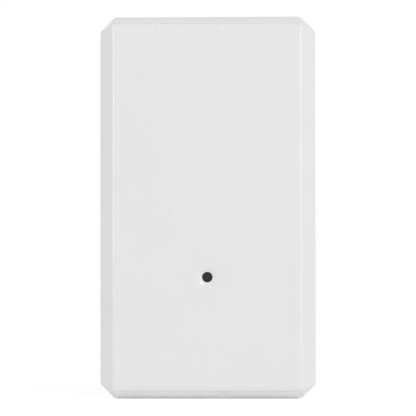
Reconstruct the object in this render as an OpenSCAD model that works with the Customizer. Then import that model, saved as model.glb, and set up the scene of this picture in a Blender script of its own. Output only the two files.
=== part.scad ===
// Vibration sensor tag: a two-piece moulded case on an adhesive pad, holding a coin cell, a radio
// module, a pairing button and a spring vibration switch on one circuit board.
// Each piece is drawn with the tag lying on its back: x across the face, y up the face and z away
// from the surface that the pad sticks to. It is then stood upright with its face to the front.

/* [Case] */
// Width of the case
case_w = 36; // [34:0.5:48]
// Height of the case
case_h = 63.7; // [61:0.1:84]
// Depth of the case without the pad
case_d = 13.4; // [12.2:0.1:20]
// Leg of the 45 degree cut at each corner of the outline
corner_cut = 2.4; // [1.6:0.1:4]
// Width of the bevel on each cut corner, seen from the front
corner_bevel = 1; // [0.4:0.1:1.6]
// Rounding where a corner cut meets the sides
corner_r = 1.3; // [0.3:0.1:1.3]
// Width of the sloping flank down each long side, seen from the front
flank_w = 2.4; // [1.5:0.1:4]
// Depth of the sloping flank
flank_d = 3; // [1.5:0.1:5]
// Rounding of the creases along each flank
crease_r = 0.45; // [0.3:0.05:1.5]
// Rounding of the face into the two ends
end_roll_r = 2.4; // [1.2:0.1:4]
// Rounding of the edge at the back
back_edge_r = 0.6; // [0.2:0.1:1]

/* [Front cover] */
// Thickness of the face
face_t = 1.6; // [1:0.1:2.4]
// Thickness of the long sides
side_t = 1.6; // [1:0.1:2]
// Thickness of the skirts inside the end walls
skirt_t = 1.2; // [0.8:0.1:1.8]
// Diameter of the indicator hole
indicator_d = 1.76; // [1.2:0.02:2.4]
// Distance of the indicator hole below the middle of the face
indicator_drop = 11.66; // [10.5:0.02:13]
// Diameter of the dish around the indicator hole
dish_d = 3.2; // [2.6:0.1:5]
// Depth of the dish
dish_depth = 0.45; // [0.2:0.05:0.8]
// Diameter of the socket behind the indicator hole
socket_d = 4.4; // [3.6:0.1:6]
// Height of the socket
socket_h = 2.2; // [1:0.1:4]
// Thickness of the ribs that keep the cell down
keeper_t = 1; // [0.6:0.1:1.6]
// Length of the ribs that keep the cell down
keeper_l = 12; // [6:0.5:18]
// Spacing of the ribs that keep the cell down
keeper_spacing = 10; // [6:0.5:16]

/* [Rear case] */
// Thickness of the floor
floor_t = 1.4; // [1:0.1:2]
// Height of the outer band round the floor
band_h = 2.4; // [2:0.1:3]
// Thickness of the two end walls
end_wall_t = 1.25; // [0.7:0.05:1.6]
// Width of the ledge on each end wall that the cover laps over
lap_w = 0.5; // [0.3:0.05:0.6]
// Depth of that ledge under the rolled edge
lap_depth = 0.3; // [0.25:0.05:0.6]
// Thickness of the lips that line up the cover
lip_t = 1; // [0.7:0.1:1.4]
// Height of the lips above the band
lip_h = 1.2; // [0.6:0.1:2]
// Length of the lips
lip_l = 44; // [30:1:50]
// Radius of the friction ribs on the lips
grip_r = 0.3; // [0.2:0.05:0.5]
// Spacing of the friction ribs along a lip
grip_spacing = 15; // [8:0.5:18]
// Diameter of the bosses under the circuit board
boss_d = 3.6; // [3:0.1:5]
// Height of the bosses above the floor
boss_h = 1.3; // [1:0.1:2]
// Diameter of the pegs that line up the circuit board
peg_d = 1.5; // [1:0.1:2]
// Height of the pegs above the circuit board
peg_rise = 0.6; // [0.2:0.1:1.2]
// Radius of the hollow where a blade pries the cover off
pry_r = 3; // [2:0.1:5]
// Depth of the pry hollow
pry_depth = 0.25; // [0.1:0.05:0.4]
// Distance of the pry hollow to the right of the middle
pry_x = 2.75; // [0:0.25:8]

/* [Adhesive pad] */
// Thickness of the foam pad
pad_t = 1; // [0.5:0.1:2]
// Distance of the pad in from the edge of the case
pad_inset = 1.6; // [1:0.1:4]

/* [Circuit board] */
// Thickness of the circuit board
board_t = 1; // [0.8:0.1:1.6]
// Rounding of the board's corners
board_r = 1; // [0.3:0.1:2]
// Distance of the fixing points in from the board's ends
fix_inset = 2.6; // [2.2:0.1:3.2]
// Diameter of the screws' shanks
screw_d = 1.6; // [1.2:0.1:2]
// Length of the screws under the head
screw_l = 3; // [2.4:0.1:3.2]
// Diameter of the screws' heads
screw_head_d = 3.2; // [2.6:0.1:3.8]
// Height of the screws' heads
screw_head_h = 1; // [0.6:0.1:1.6]
// Length of the cross recess in the heads
recess_l = 1.8; // [1.2:0.1:2.2]
// Width of the cross recess
recess_w = 0.4; // [0.3:0.05:0.6]

/* [Coin cell] */
// Diameter of the cell
cell_d = 24.5; // [20:0.5:26.5]
// Thickness of the cell
cell_t = 5; // [3.2:0.1:5.6]
// Thickness of the cell's sheet metal
can_t = 0.3; // [0.2:0.05:0.4]
// Rounding of the can's edge
can_r = 0.5; // [0.2:0.1:0.8]
// Width of the crimped edge over the seal
crimp_w = 0.9; // [0.7:0.05:1.4]
// Width of the seal that shows inside the crimped edge
seal_w = 0.4; // [0.3:0.05:0.8]
// Step of the cap out beyond the crimped edge
cap_step = 0.25; // [0.1:0.05:0.4]

/* [Battery holder] */
// Thickness of the holder's walls
holder_wall = 1; // [0.8:0.1:1.4]
// Thickness of the holder's floor
holder_floor = 0.6; // [0.4:0.1:1]
// Height of the holder's walls above its floor
holder_h = 4; // [2.4:0.1:4.6]
// Rounding of the holder's corners
holder_r = 2; // [1:0.1:4]
// Diameter of the window under the cell
window_d = 11; // [9:0.5:16]
// Length of the cut-outs in the holder's two sides
side_cut_l = 11; // [6:0.5:14]
// Height of the wall left under the side cut-outs
sill_h = 1.4; // [0.6:0.1:2]
// Width of each hook over the cell
hook_w = 3; // [2:0.1:4]
// Spacing of the two hooks
hook_spacing = 10; // [7:0.5:14]
// Reach of the hooks over the cell's edge
hook_reach = 0.8; // [0.4:0.1:1.4]
// Thickness of the hooks
hook_t = 0.6; // [0.4:0.1:0.9]
// Thickness of the contacts' spring metal
contact_t = 0.25; // [0.15:0.05:0.35]
// Width of the clip on the cell's side
clip_w = 7; // [4:0.5:9]
// Reach of the clip over the cell's edge
clip_reach = 1; // [0.5:0.1:1.6]
// Length of the clip's solder foot
clip_foot = 1.7; // [1:0.1:2]
// Width of the leaf under the cell
leaf_w = 4; // [2.5:0.1:6]
// Length of the leaf
leaf_l = 8; // [6:0.5:8.5]

/* [Radio module] */
// Gap between the module and its neighbours
radio_gap = 1.85; // [1:0.05:3]
// Thickness of the module's board
radio_t = 0.8; // [0.6:0.1:1.2]
// Diameter of the half holes in the module's edges
castellation_d = 0.7; // [0.5:0.05:0.8]
// Spacing of the half holes
castellation_pitch = 1.27; // [1:0.01:1.5]
// Height of the shield can
shield_h = 1.9; // [1.4:0.1:2.6]
// Thickness of the shield's sheet metal
shield_t = 0.2; // [0.15:0.05:0.3]
// Margin of the shield inside the module's edges
shield_margin = 0.7; // [0.6:0.1:1.2]
// Length of the module's end that holds the antenna
antenna_zone = 4.2; // [3.6:0.1:5.5]
// Width of the antenna's trace
trace_w = 0.4; // [0.3:0.05:0.5]
// Thickness of the antenna's trace
trace_t = 0.1; // [0.05:0.01:0.15]
// Runs in the antenna's meander
antenna_runs = 9; // [5:2:9]

/* [Status light] */
// Length of the light's package
led_l = 3.5; // [2.8:0.1:4]
// Width of the light's package
led_w = 2.8; // [2.4:0.1:3.2]
// Height of the light's package
led_h = 1.9; // [1.2:0.1:2.4]
// Diameter of the light's lens
led_lens_d = 2.2; // [1.8:0.1:2.3]
// Depth of the light's lens
led_lens_h = 0.9; // [0.5:0.1:1.1]
// Diameter of the light pipe's barrel
pipe_d = 2.5; // [2.2:0.1:3]
// Distance of the pipe's tip behind the face
tip_recess = 0.6; // [0.4:0.05:1.2]

/* [Pairing button] */
// Width of the button's base
button_w = 6; // [5:0.1:6.4]
// Height of the button's base
button_h = 3.2; // [2.6:0.1:4]
// Diameter of the button's plunger
plunger_d = 3.4; // [2.6:0.1:3.6]
// Height of the plunger above the cover plate
plunger_rise = 0.9; // [0.5:0.1:2]
// Width of the plunger's flange
flange_w = 0.5; // [0.3:0.1:0.6]
// Thickness of the plunger's flange
flange_t = 0.5; // [0.3:0.1:0.7]
// Distance that the plunger travels
plunger_travel = 0.25; // [0.15:0.05:0.3]
// Thickness of the button's cover plate
plate_t = 0.2; // [0.15:0.05:0.3]
// Height of the snap dome
dome_h = 0.4; // [0.3:0.05:0.5]
// Thickness of the snap dome
dome_t = 0.1; // [0.08:0.01:0.15]
// Width of the button's legs
leg_w = 0.7; // [0.5:0.1:1]
// Thickness of the button's legs
leg_t = 0.2; // [0.15:0.05:0.3]
// Reach of the button's legs beyond the base
leg_reach = 1.1; // [0.8:0.1:1.3]
// Spacing of the legs down each side
leg_spacing = 4.5; // [3.5:0.1:4.8]

/* [Vibration switch] */
// Diameter of the switch's tube
tube_d = 4.6; // [4.4:0.1:5]
// Length of the switch's tube
tube_l = 11; // [10.6:0.1:12]
// Thickness of the tube's wall
tube_t = 0.5; // [0.3:0.05:0.55]
// Length of the seals in the tube's ends
plug_l = 1.2; // [0.8:0.1:1.3]
// Diameter of the centre post
post_d = 0.8; // [0.6:0.05:0.9]
// Diameter of the thin lead
lead_d = 0.5; // [0.4:0.05:0.6]
// Distance that the leads run on before they bend, where there is room
lead_reach = 1.4; // [1:0.1:2]
// Length of the leads below the circuit board
lead_tail = 0.6; // [0.3:0.1:0.9]
// Diameter of the disc that carries the spring
disc_d = 2.5; // [2.2:0.1:2.8]
// Thickness of that disc
disc_t = 0.3; // [0.2:0.05:0.5]
// Diameter of the spring at the middle of its wire
coil_d = 2.1; // [2:0.05:2.2]
// Diameter of the spring's wire
wire_d = 0.2; // [0.15:0.01:0.22]
// Rise of the spring in one turn
coil_pitch = 0.65; // [0.5:0.01:1]

/* [Small board parts] */
// Length of the buffer capacitor
buffer_l = 3.5; // [2.6:0.1:4.4]
// Width of the buffer capacitor
buffer_w = 2.8; // [2:0.1:3.2]
// Height of the buffer capacitor
buffer_h = 1.9; // [1.2:0.1:2.8]
// Width of the buffer capacitor's straps
strap_w = 2.2; // [1.4:0.1:2.4]
// Thickness of the straps
strap_t = 0.15; // [0.1:0.05:0.2]
// Length of the regulator
regulator_l = 2.9; // [2.4:0.1:3.4]
// Width of the regulator
regulator_w = 1.6; // [1.2:0.1:1.8]
// Height of the regulator
regulator_h = 1.1; // [0.8:0.1:1.4]
// Length of the timing crystal
crystal_l = 3.2; // [2.5:0.1:3.6]
// Width of the timing crystal
crystal_w = 1.5; // [1.2:0.1:1.6]
// Height of the timing crystal
crystal_h = 0.8; // [0.6:0.1:1.2]
// Length of each chip part
chip_l = 1.6; // [1:0.1:1.7]
// Width of each chip part
chip_w = 0.8; // [0.5:0.1:0.9]
// Height of the chip capacitors
chip_cap_h = 0.8; // [0.5:0.1:1]
// Height of the chip resistors
chip_res_h = 0.45; // [0.3:0.05:0.6]

/* [Fits] */
// Gap of the seam between the cover's ends and the end walls
seam_gap = 0.02; // [0.02:0.01:0.15]
// Gap between the cover's rim and what it closes on
rest_gap = 0.1; // [0.05:0.01:0.2]
// Gap between the lips and the cover's sides
lip_gap = 0.2; // [0.1:0.01:0.3]
// Gap between the friction ribs and the cover's sides
grip_gap = 0.05; // [0.02:0.01:0.08]
// Gap between the circuit board's edges and the lips
board_side_gap = 0.5; // [0.3:0.1:0.8]
// Gap between the circuit board's ends and the cover's skirts
board_end_gap = 1.27; // [0.8:0.01:1.8]
// Gap round screws, pegs and leads in their holes
hole_gap = 0.1; // [0.05:0.01:0.2]
// Gap round the cell in its holder
cell_gap = 0.2; // [0.1:0.05:0.3]
// Gap between nested pieces that are fixed together
snug_gap = 0.05; // [0.02:0.01:0.06]
// Gap between the plunger and what it slides in
slide_gap = 0.1; // [0.05:0.01:0.15]
// Gap between neighbours on the circuit board
part_gap = 0.5; // [0.3:0.05:0.7]
// Gap that the cover's parts keep above the cell and the light
cover_gap = 0.3; // [0.2:0.05:0.5]
// Gap between the spring and the disc that carries it
coil_gap = 0.15; // [0.1:0.01:0.25]
// Least gap between the spring's free end and the seal
coil_end_gap = 0.6; // [0.4:0.05:1]

/* [Hidden] */
$fn = 48;

// Length by which a cut or a fused piece runs past the face it meets
over = 0.5;
half_w = case_w / 2;
half_h = case_h / 2;

// Depths out from the mounting surface
back_z = pad_t;
floor_z = back_z + floor_t;
band_z = back_z + band_h;
seam_z = band_z + rest_gap;
board_back_z = floor_z + boss_h;
board_z = board_back_z + board_t;
front_z = back_z + case_d;
inner_z = front_z - face_t;
flank_z = front_z - flank_d;
seam_drop = end_roll_r - sqrt(pow(end_roll_r, 2) - pow(end_roll_r - end_wall_t, 2));
lap_z = front_z - seam_drop - lap_depth;

// Lines across and along the case
crease_x = half_w - flank_w;
end_wall_x = half_w - corner_cut - seam_gap;
end_wall_y = half_h - end_wall_t;
cover_end_y = end_wall_y - seam_gap;
cavity_x = half_w - side_t;
cavity_y = cover_end_y - skirt_t;
lip_outer_x = cavity_x - lip_gap;
lip_inner_x = lip_outer_x - lip_t;
band_w = half_w - lip_inner_x;

// Circuit board and its fixing points, in line with the battery holder's sides: screws on one
// diagonal, pegs on the other
board_w = 2 * (lip_inner_x - board_side_gap);
board_h = 2 * (cavity_y - board_end_gap);
cell_r = cell_d / 2;
holder_half = cell_r + cell_gap + holder_wall;
fix_x = holder_half - screw_head_d / 2;
fix_y = board_h / 2 - fix_inset;
screw_places = [[-fix_x, fix_y], [fix_x, -fix_y]];
peg_places = [[fix_x, fix_y], [-fix_x, -fix_y]];
screw_hole_d = screw_d + 2 * hole_gap;
pilot_depth = screw_l - board_t + hole_gap;

// Coin cell and holder, under the upper screw
holder_top_y = fix_y - screw_head_d / 2 - part_gap;
cell_y = holder_top_y - holder_half;
holder_end_y = cell_y - holder_half;
cell_z = board_z + holder_floor;
cell_top = cell_z + cell_t;
can_inner_r = cell_r - can_t;
crimp_r = cell_r - crimp_w;
cap_r = crimp_r - seal_w;
core_r = crimp_r + seal_w / 2;

// Status light, in line with the indicator hole
indicator_y = -indicator_drop;
led_top = board_z + led_h;

// Vibration switch, at the right edge, above the lower screw and clear of the holder
tube_r = tube_d / 2;
bore_r = tube_r - tube_t;
post_foot_y = -fix_y + screw_head_d / 2 + part_gap + post_d / 2;
lead_foot_y = holder_end_y - part_gap - lead_d / 2;
lead_run = min(lead_reach, (lead_foot_y - post_foot_y - tube_l) / 2);
lead_bend_y = tube_l / 2 + lead_run;
sensor_x = board_w / 2 - part_gap - tube_r;
sensor_y = post_foot_y + lead_bend_y;
sensor_z = board_z + tube_r + hole_gap;
disc_y = tube_l / 2 - plug_l - disc_t;
coil_start_y = disc_y - coil_gap - wire_d / 2;
coil_end_y = -tube_l / 2 + plug_l + coil_end_gap + wire_d / 2;
coil_turns = floor((coil_start_y - coil_end_y) / coil_pitch);
post_l = disc_y + tube_l / 2 + lead_run - 3 * disc_t;

// Pairing button, above the board's lower edge and beside the vibration switch
button_x = sensor_x - tube_r - part_gap - leg_reach - button_w / 2;
button_y = -board_h / 2 + fix_inset + screw_head_d / 2 + part_gap + button_w / 2;
button_top = board_z + button_h;
plunger_r = plunger_d / 2;
flange_r = plunger_r + flange_w;
well_r = flange_r + slide_gap;
flange_z = button_top - slide_gap - flange_t;
well_z = flange_z - plunger_travel - slide_gap - dome_h;

// Small parts: one column under the status light, the rest beside it and under the button
chip_pitch = chip_w + part_gap;
column_w = max(chip_l, crystal_w);
column_x = button_x - button_w / 2 - leg_reach - part_gap - column_w / 2;
column_y = indicator_y - led_w / 2 - part_gap - chip_w / 2;
crystal_y = column_y - 2.5 * chip_pitch - crystal_l / 2;
buffer_x = led_l / 2 + part_gap + buffer_l / 2;
buffer_y = holder_end_y - part_gap - buffer_w / 2;
chip_row_y = buffer_y - buffer_w / 2 - part_gap - chip_w / 2;
regulator_y = -board_h / 2 + part_gap + regulator_w;

// Radio module, in the room left at the left edge above the lower peg
radio_left = -board_w / 2 + part_gap;
radio_right = min(column_x - column_w / 2, -led_l / 2) - radio_gap;
radio_bottom = -fix_y + peg_d / 2 + part_gap;
radio_top = holder_end_y - radio_gap;
radio_w = radio_right - radio_left;
radio_h = radio_top - radio_bottom;
radio_x = (radio_left + radio_right) / 2;
radio_y = (radio_bottom + radio_top) / 2;
radio_z = board_z + radio_t;
castellation_count = floor((radio_h - antenna_zone - shield_margin) / castellation_pitch);
shield_w = radio_w - 2 * shield_margin;
shield_l = radio_h - antenna_zone - shield_margin;
shield_y = radio_y + (antenna_zone - shield_margin) / 2;

// Colours of the mouldings and finishes
case_white = "#E7E7E7";
nickel = "#C9CACB";
gold = "#C9A45C";
black_moulding = "#26272A";

module upright() {
  rotate([90, 0, 0]) children();
}

// A profile in x and z swept along y
module along_y(l) {
  rotate([90, 0, 0]) linear_extrude(l, center = true) children();
}

// A profile in y and z swept along x
module along_x(l) {
  rotate([90, 0, 90]) linear_extrude(l, center = true) children();
}

function unit(v) = v / norm(v);

function arc_centre(before, here, after, r) =
  let (a = unit(before - here), b = unit(after - here))
  here + unit(a + b) * r / sin(acos(a * b) / 2);

function arc_ends(before, here, after, r) =
  let (a = unit(before - here), b = unit(after - here), reach = r / tan(acos(a * b) / 2))
  [here + a * reach, here + b * reach];

// A convex outline with a rounding of its own at each corner
module rounded_outline(points, radii) {
  n = len(points);
  polygon([
    for (i = [0:n - 1])
      each arc_ends(points[(i + n - 1) % n], points[i], points[(i + 1) % n], radii[i])
  ]);
  for (i = [0:n - 1])
    translate(arc_centre(points[(i + n - 1) % n], points[i], points[(i + 1) % n], radii[i]))
      circle(radii[i]);
}

// A plate with rounded corners, centred across and standing on z = 0
module rounded_plate(w, h, t, r) {
  corners = [[w / 2, h / 2], [-w / 2, h / 2], [-w / 2, -h / 2], [w / 2, -h / 2]];
  linear_extrude(t) rounded_outline(corners, [r, r, r, r]);
}

// A block centred across and standing on z = 0
module block(w, h, t) {
  translate([-w / 2, -h / 2, 0]) cube([w, h, t]);
}

// The case's outline from the front, moved in from its edge
module plan(inset) {
  w = half_w - inset;
  h = half_h - inset;
  cut = corner_cut - inset * (2 - sqrt(2));
  r = max(corner_r - inset, corner_r / 4);
  quarter = [[w, h - cut], [w - cut, h]];
  rounded_outline([
    quarter[0], quarter[1],
    [-quarter[1].x, quarter[1].y], [-quarter[0].x, quarter[0].y],
    -quarter[0], -quarter[1],
    [quarter[1].x, -quarter[1].y], [quarter[0].x, -quarter[0].y]
  ], [for (i = [0:7]) r]);
}

// The room between the bevels of two opposite corners
module corner_span(turn) {
  corner_reach = (half_w + half_h - corner_cut) / sqrt(2);
  lean = corner_bevel / flank_d;
  foot = corner_reach + lean * (flank_z - back_z + over);
  head = corner_reach - lean * (flank_d + over);
  rotate(turn) along_y(2 * case_h) polygon([
    [foot, back_z - over], [head, front_z + over], [-head, front_z + over], [-foot, back_z - over]
  ]);
}

// The whole case as one moulding: outline, flanks, rolled ends and bevelled corners
module case_form() {
  intersection() {
    translate([0, 0, back_z - over]) linear_extrude(case_d + 2 * over) plan(0);
    along_y(case_h + 2 * over) rounded_outline([
      [half_w, back_z], [half_w, flank_z], [crease_x, front_z],
      [-crease_x, front_z], [-half_w, flank_z], [-half_w, back_z]
    ], [back_edge_r, crease_r, crease_r, crease_r, crease_r, back_edge_r]);
    along_x(case_w + 2 * over) rounded_outline([
      [half_h, back_z], [half_h, front_z], [-half_h, front_z], [-half_h, back_z]
    ], [back_edge_r, end_roll_r, end_roll_r, back_edge_r]);
    corner_span(45);
    corner_span(-45);
  }
}

// The room inside the cover, a wall's thickness within the case's form
module cover_cavity() {
  outward = unit([flank_d, flank_w]);
  reach = outward * [crease_x, front_z] - side_t;
  shoulder_z = (reach - outward.x * cavity_x) / outward.y;
  inner_crease_x = (reach - outward.y * inner_z) / outward.x;
  intersection() {
    linear_extrude(front_z) plan(side_t);
    along_y(2 * cavity_y) polygon([
      [cavity_x + over, 0], [cavity_x + over, shoulder_z - over * outward.x / outward.y],
      [inner_crease_x, inner_z], [-inner_crease_x, inner_z],
      [-cavity_x - over, shoulder_z - over * outward.x / outward.y], [-cavity_x - over, 0]
    ]);
  }
}

// One lip with its lead-in and friction ribs, at the right-hand side
module lip() {
  lead_in = lip_t / 3;
  top_z = band_z + lip_h;
  along_y(lip_l) polygon([
    [lip_inner_x, band_z - over], [lip_outer_x, band_z - over], [lip_outer_x, top_z - lead_in],
    [lip_outer_x - lead_in, top_z], [lip_inner_x, top_z]
  ]);
  for (i = [-1:1])
    translate([cavity_x - grip_gap - grip_r, i * grip_spacing, band_z - over])
      cylinder(r = grip_r, h = lip_h - lead_in + over);
}

module rear_case() {
  roll = [0, -half_h + end_roll_r, front_z - end_roll_r];
  // The pry hollow sits where the rolled edge slopes between the face and the end
  pry_slope = asin(1 - end_wall_t / 2 / end_roll_r);
  pry_reach = end_roll_r + pry_r - pry_depth;
  color(case_white) upright() difference() {
    union() {
      difference() {
        intersection() {
          case_form();
          union() {
            block(case_w + 2 * over, case_h + 2 * over, band_z);
            for (side = [-1, 1])
              translate([0, side * (end_wall_y + case_h / 2), 0]) {
                block(2 * end_wall_x, case_h, front_z + over);
                translate([0, -side * lap_w, 0]) block(2 * end_wall_x, case_h, lap_z);
              }
          }
        }
        translate([0, 0, floor_z]) linear_extrude(case_d) plan(band_w);
      }
      lip();
      mirror([1, 0, 0]) lip();
      for (place = concat(screw_places, peg_places))
        translate([place.x, place.y, floor_z - over]) cylinder(d = boss_d, h = boss_h + over);
      for (place = peg_places)
        translate([place.x, place.y, floor_z - over])
          cylinder(d = peg_d, h = board_z + peg_rise - floor_z + over);
    }
    for (place = screw_places)
      translate([place.x, place.y, board_back_z - pilot_depth])
        cylinder(d = screw_hole_d, h = pilot_depth + over);
    translate(roll + [pry_x, -pry_reach * sin(pry_slope), pry_reach * cos(pry_slope)])
      sphere(pry_r);
  }
}

module adhesive_pad() {
  color("#8E9194") upright() linear_extrude(pad_t) plan(pad_inset);
}

module circuit_board() {
  color("#1F5A3C") upright() translate([0, 0, board_back_z]) difference() {
    rounded_plate(board_w, board_h, board_t, board_r);
    for (place = screw_places)
      translate([place.x, place.y, -over]) cylinder(d = screw_hole_d, h = board_t + 2 * over);
    for (place = peg_places)
      translate([place.x, place.y, -over])
        cylinder(d = peg_d + 2 * hole_gap, h = board_t + 2 * over);
    translate([sensor_x, sensor_y + lead_bend_y, -over])
      cylinder(d = lead_d + 2 * hole_gap, h = board_t + 2 * over);
    translate([sensor_x, sensor_y - lead_bend_y, -over])
      cylinder(d = post_d + 2 * hole_gap, h = board_t + 2 * over);
  }
}

module board_screws() {
  recess_depth = 0.6 * screw_head_h;
  color(nickel) upright() for (place = screw_places)
    translate([place.x, place.y, board_z]) difference() {
      union() {
        translate([0, 0, -screw_l]) cylinder(d = screw_d, h = screw_l + over);
        rotate_extrude() intersection() {
          rounded_outline([
            [-screw_head_d / 2, 0], [screw_head_d / 2, 0],
            [screw_head_d / 2, screw_head_h], [-screw_head_d / 2, screw_head_h]
          ], [0.1, 0.1, 0.4, 0.4] * screw_head_h);
          square([screw_head_d, screw_head_h]);
        }
      }
      for (turn = [0, 90])
        rotate(turn) translate([0, 0, screw_head_h - recess_depth])
          block(recess_l, recess_w, recess_depth + over);
    }
}

// The profile of one hook, in y and z from the holder's lower edge and the cell's top
module hook_profile() {
  post_x = (hook_spacing - hook_w) / 2;
  post = holder_half - sqrt(cell_r * cell_r - post_x * post_x) - snug_gap;
  tip = holder_half - sqrt(cell_r * cell_r - pow(hook_spacing / 2, 2)) + hook_reach;
  polygon([
    [0, -over - cell_t + holder_h], [post, -over - cell_t + holder_h], [post, snug_gap],
    [tip, snug_gap], [tip, snug_gap + hook_t / 2], [tip - hook_t, snug_gap + hook_t],
    [0, snug_gap + hook_t]
  ]);
}

module battery_holder() {
  color(black_moulding) upright() translate([0, cell_y, board_z]) {
    difference() {
      rounded_plate(2 * holder_half, 2 * holder_half, holder_floor + holder_h, holder_r);
      translate([0, 0, holder_floor]) cylinder(r = cell_r + cell_gap, h = holder_h + over);
      translate([0, 0, -over]) cylinder(d = window_d, h = holder_floor + 2 * over);
      translate([0, holder_half, -over])
        block(
          clip_w + 2 * cell_gap, 2 * (holder_half - cell_r + clip_foot),
          holder_floor + holder_h + 2 * over
        );
      translate([0, 0, holder_floor + sill_h])
        block(2 * holder_half + 2 * over, side_cut_l, holder_h);
    }
    for (side = [-1, 1])
      translate([side * hook_spacing / 2, -holder_half, cell_top - board_z])
        along_x(hook_w) hook_profile();
  }
}

// The positive clip: foot on the board, blade up the cell's side and a lip over its edge
module battery_clip() {
  inner_y = cell_r + snug_gap;
  outer_y = inner_y + contact_t;
  lip_z = cell_top - board_z + snug_gap;
  color(nickel) upright() translate([0, cell_y, board_z]) along_x(clip_w) polygon([
    [outer_y + clip_foot, 0], [inner_y, 0], [inner_y, lip_z], [cell_r - clip_reach, lip_z],
    [cell_r - clip_reach, lip_z + contact_t], [outer_y, lip_z + contact_t],
    [outer_y, contact_t], [outer_y + clip_foot, contact_t]
  ]);
}

// The negative leaf: a flat foot on the board, a rising arm and a flat that meets the cap
module battery_leaf() {
  crest = leaf_l / 8;
  top = holder_floor;
  color(gold) upright() translate([0, cell_y, board_z]) along_x(leaf_w) polygon([
    [-leaf_l / 2, 0], [0, 0], [leaf_l / 2 - crest, top - contact_t], [leaf_l / 2, top - contact_t],
    [leaf_l / 2, top], [leaf_l / 2 - crest - contact_t, top], [-contact_t, contact_t],
    [-leaf_l / 2, contact_t]
  ]);
}

module cell_can() {
  color(nickel) upright() translate([0, cell_y, cell_z]) difference() {
    rotate_extrude() {
      polygon([
        [0, cap_step], [cell_r - can_r, cap_step], [cell_r, cap_step + can_r],
        [cell_r, cell_t - can_r], [cell_r - can_r, cell_t], [0, cell_t]
      ]);
      for (z = [cap_step + can_r, cell_t - can_r])
        translate([cell_r - can_r, z]) circle(can_r);
    }
    translate([0, 0, cap_step - over]) cylinder(r = crimp_r, h = can_t + 2 * over);
    translate([0, 0, cap_step + can_t])
      cylinder(r = can_inner_r, h = cell_t - cap_step - 2 * can_t);
  }
}

module cell_gasket() {
  lower = cap_step + can_t;
  upper = cell_t - can_t;
  color("#1E1F21") upright() translate([0, cell_y, cell_z]) rotate_extrude() polygon([
    [cap_r + snug_gap, lower - can_t / 2], [crimp_r - snug_gap, lower - can_t / 2],
    [crimp_r - snug_gap, lower], [can_inner_r - snug_gap, lower],
    [can_inner_r - snug_gap, upper], [core_r + snug_gap, upper],
    [core_r + snug_gap, lower + can_t], [cap_r + snug_gap, lower + can_t]
  ]);
}

// The cap, closed over what it holds
module cell_cap() {
  shoulder = cap_step + 2 * can_t;
  color("#B9BABC") upright() translate([0, cell_y, cell_z]) rotate_extrude() polygon([
    [0, 0], [cap_r - can_t, 0], [cap_r, can_t], [cap_r, shoulder], [core_r, shoulder],
    [core_r, cell_t - can_t], [0, cell_t - can_t]
  ]);
}

module radio_board() {
  first_y = -(castellation_count - 1) * castellation_pitch / 2;
  color("#1C3554") upright() translate([radio_x, radio_y, board_z]) difference() {
    rounded_plate(radio_w, radio_h, radio_t, board_r / 4);
    for (side = [-1, 1], i = [0:castellation_count - 1])
      translate([side * radio_w / 2, first_y + i * castellation_pitch + antenna_zone / 2, -over])
        cylinder(d = castellation_d, h = radio_t + 2 * over);
  }
}

module radio_shield() {
  vent_d = 4 * shield_t;
  color("#BFC2C5") upright() translate([radio_x, shield_y, radio_z]) difference() {
    rounded_plate(shield_w, shield_l, shield_h, 3 * shield_t);
    translate([0, 0, -over])
      block(shield_w - 2 * shield_t, shield_l - 2 * shield_t, shield_h - shield_t + over);
    for (i = [-1:1], j = [-1:1])
      translate([i * shield_w / 4, j * shield_l / 4, 0]) cylinder(d = vent_d, h = shield_h + over);
  }
}

// A meander across the end of the module: upright runs joined in turn at the top and the bottom
module radio_antenna() {
  span = radio_w - 2 * shield_margin - trace_w;
  run_h = antenna_zone - 2 * shield_margin;
  step = span / (antenna_runs - 1);
  color(gold) upright()
    translate([radio_x - span / 2, radio_y - radio_h / 2 + antenna_zone / 2, radio_z]) union() {
      for (i = [0:antenna_runs - 1])
        translate([i * step, 0, 0]) block(trace_w, run_h, trace_t);
      for (i = [0:antenna_runs - 2])
        translate([(i + 0.5) * step, (i % 2 == 0 ? 1 : -1) * (run_h - trace_w) / 2, 0])
          block(step, trace_w, trace_t);
    }
}

module status_led() {
  cup_d = led_lens_d + 2 * snug_gap;
  color("#F2F1EA") upright() translate([0, indicator_y, board_z]) difference() {
    rounded_plate(led_l, led_w, led_h, led_w / 10);
    translate([0, 0, led_h - led_lens_h])
      cylinder(d1 = 0.8 * cup_d, d2 = cup_d, h = led_lens_h);
  }
}

module led_lens() {
  color("#DDE6C8") upright() translate([0, indicator_y, led_top - led_lens_h])
    cylinder(d1 = 0.8 * led_lens_d, d2 = led_lens_d, h = led_lens_h);
}

module button_base() {
  color(black_moulding) upright() translate([button_x, button_y, board_z]) difference() {
    rounded_plate(button_w, button_w, button_h, button_w / 12);
    translate([0, 0, well_z - board_z]) cylinder(r = well_r, h = button_h);
  }
}

// A shallow cap of a hollow ball, rim down in the well
module button_dome() {
  rim_r = well_r - slide_gap;
  ball_r = (rim_r * rim_r + dome_h * dome_h) / (2 * dome_h);
  color(nickel) upright() translate([button_x, button_y, well_z])
    rotate_extrude() intersection() {
      translate([0, dome_h - ball_r]) difference() {
        circle(ball_r, $fn = 240);
        circle(ball_r - dome_t, $fn = 240);
      }
      square([rim_r, 2 * dome_h]);
    }
}

// A sheet plate with a hole for the plunger and two flaps bent down the base's sides
module button_plate() {
  flap_w = button_w / 2;
  flap_h = button_h / 2;
  color(nickel) upright() translate([button_x, button_y, button_top]) difference() {
    union() {
      block(button_w, button_w + 2 * plate_t, plate_t);
      for (side = [-1, 1])
        translate([0, side * (button_w + plate_t) / 2, -flap_h])
          block(flap_w, plate_t, flap_h + plate_t);
    }
    translate([0, 0, -over]) cylinder(r = plunger_r + slide_gap, h = plate_t + 2 * over);
  }
}

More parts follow.
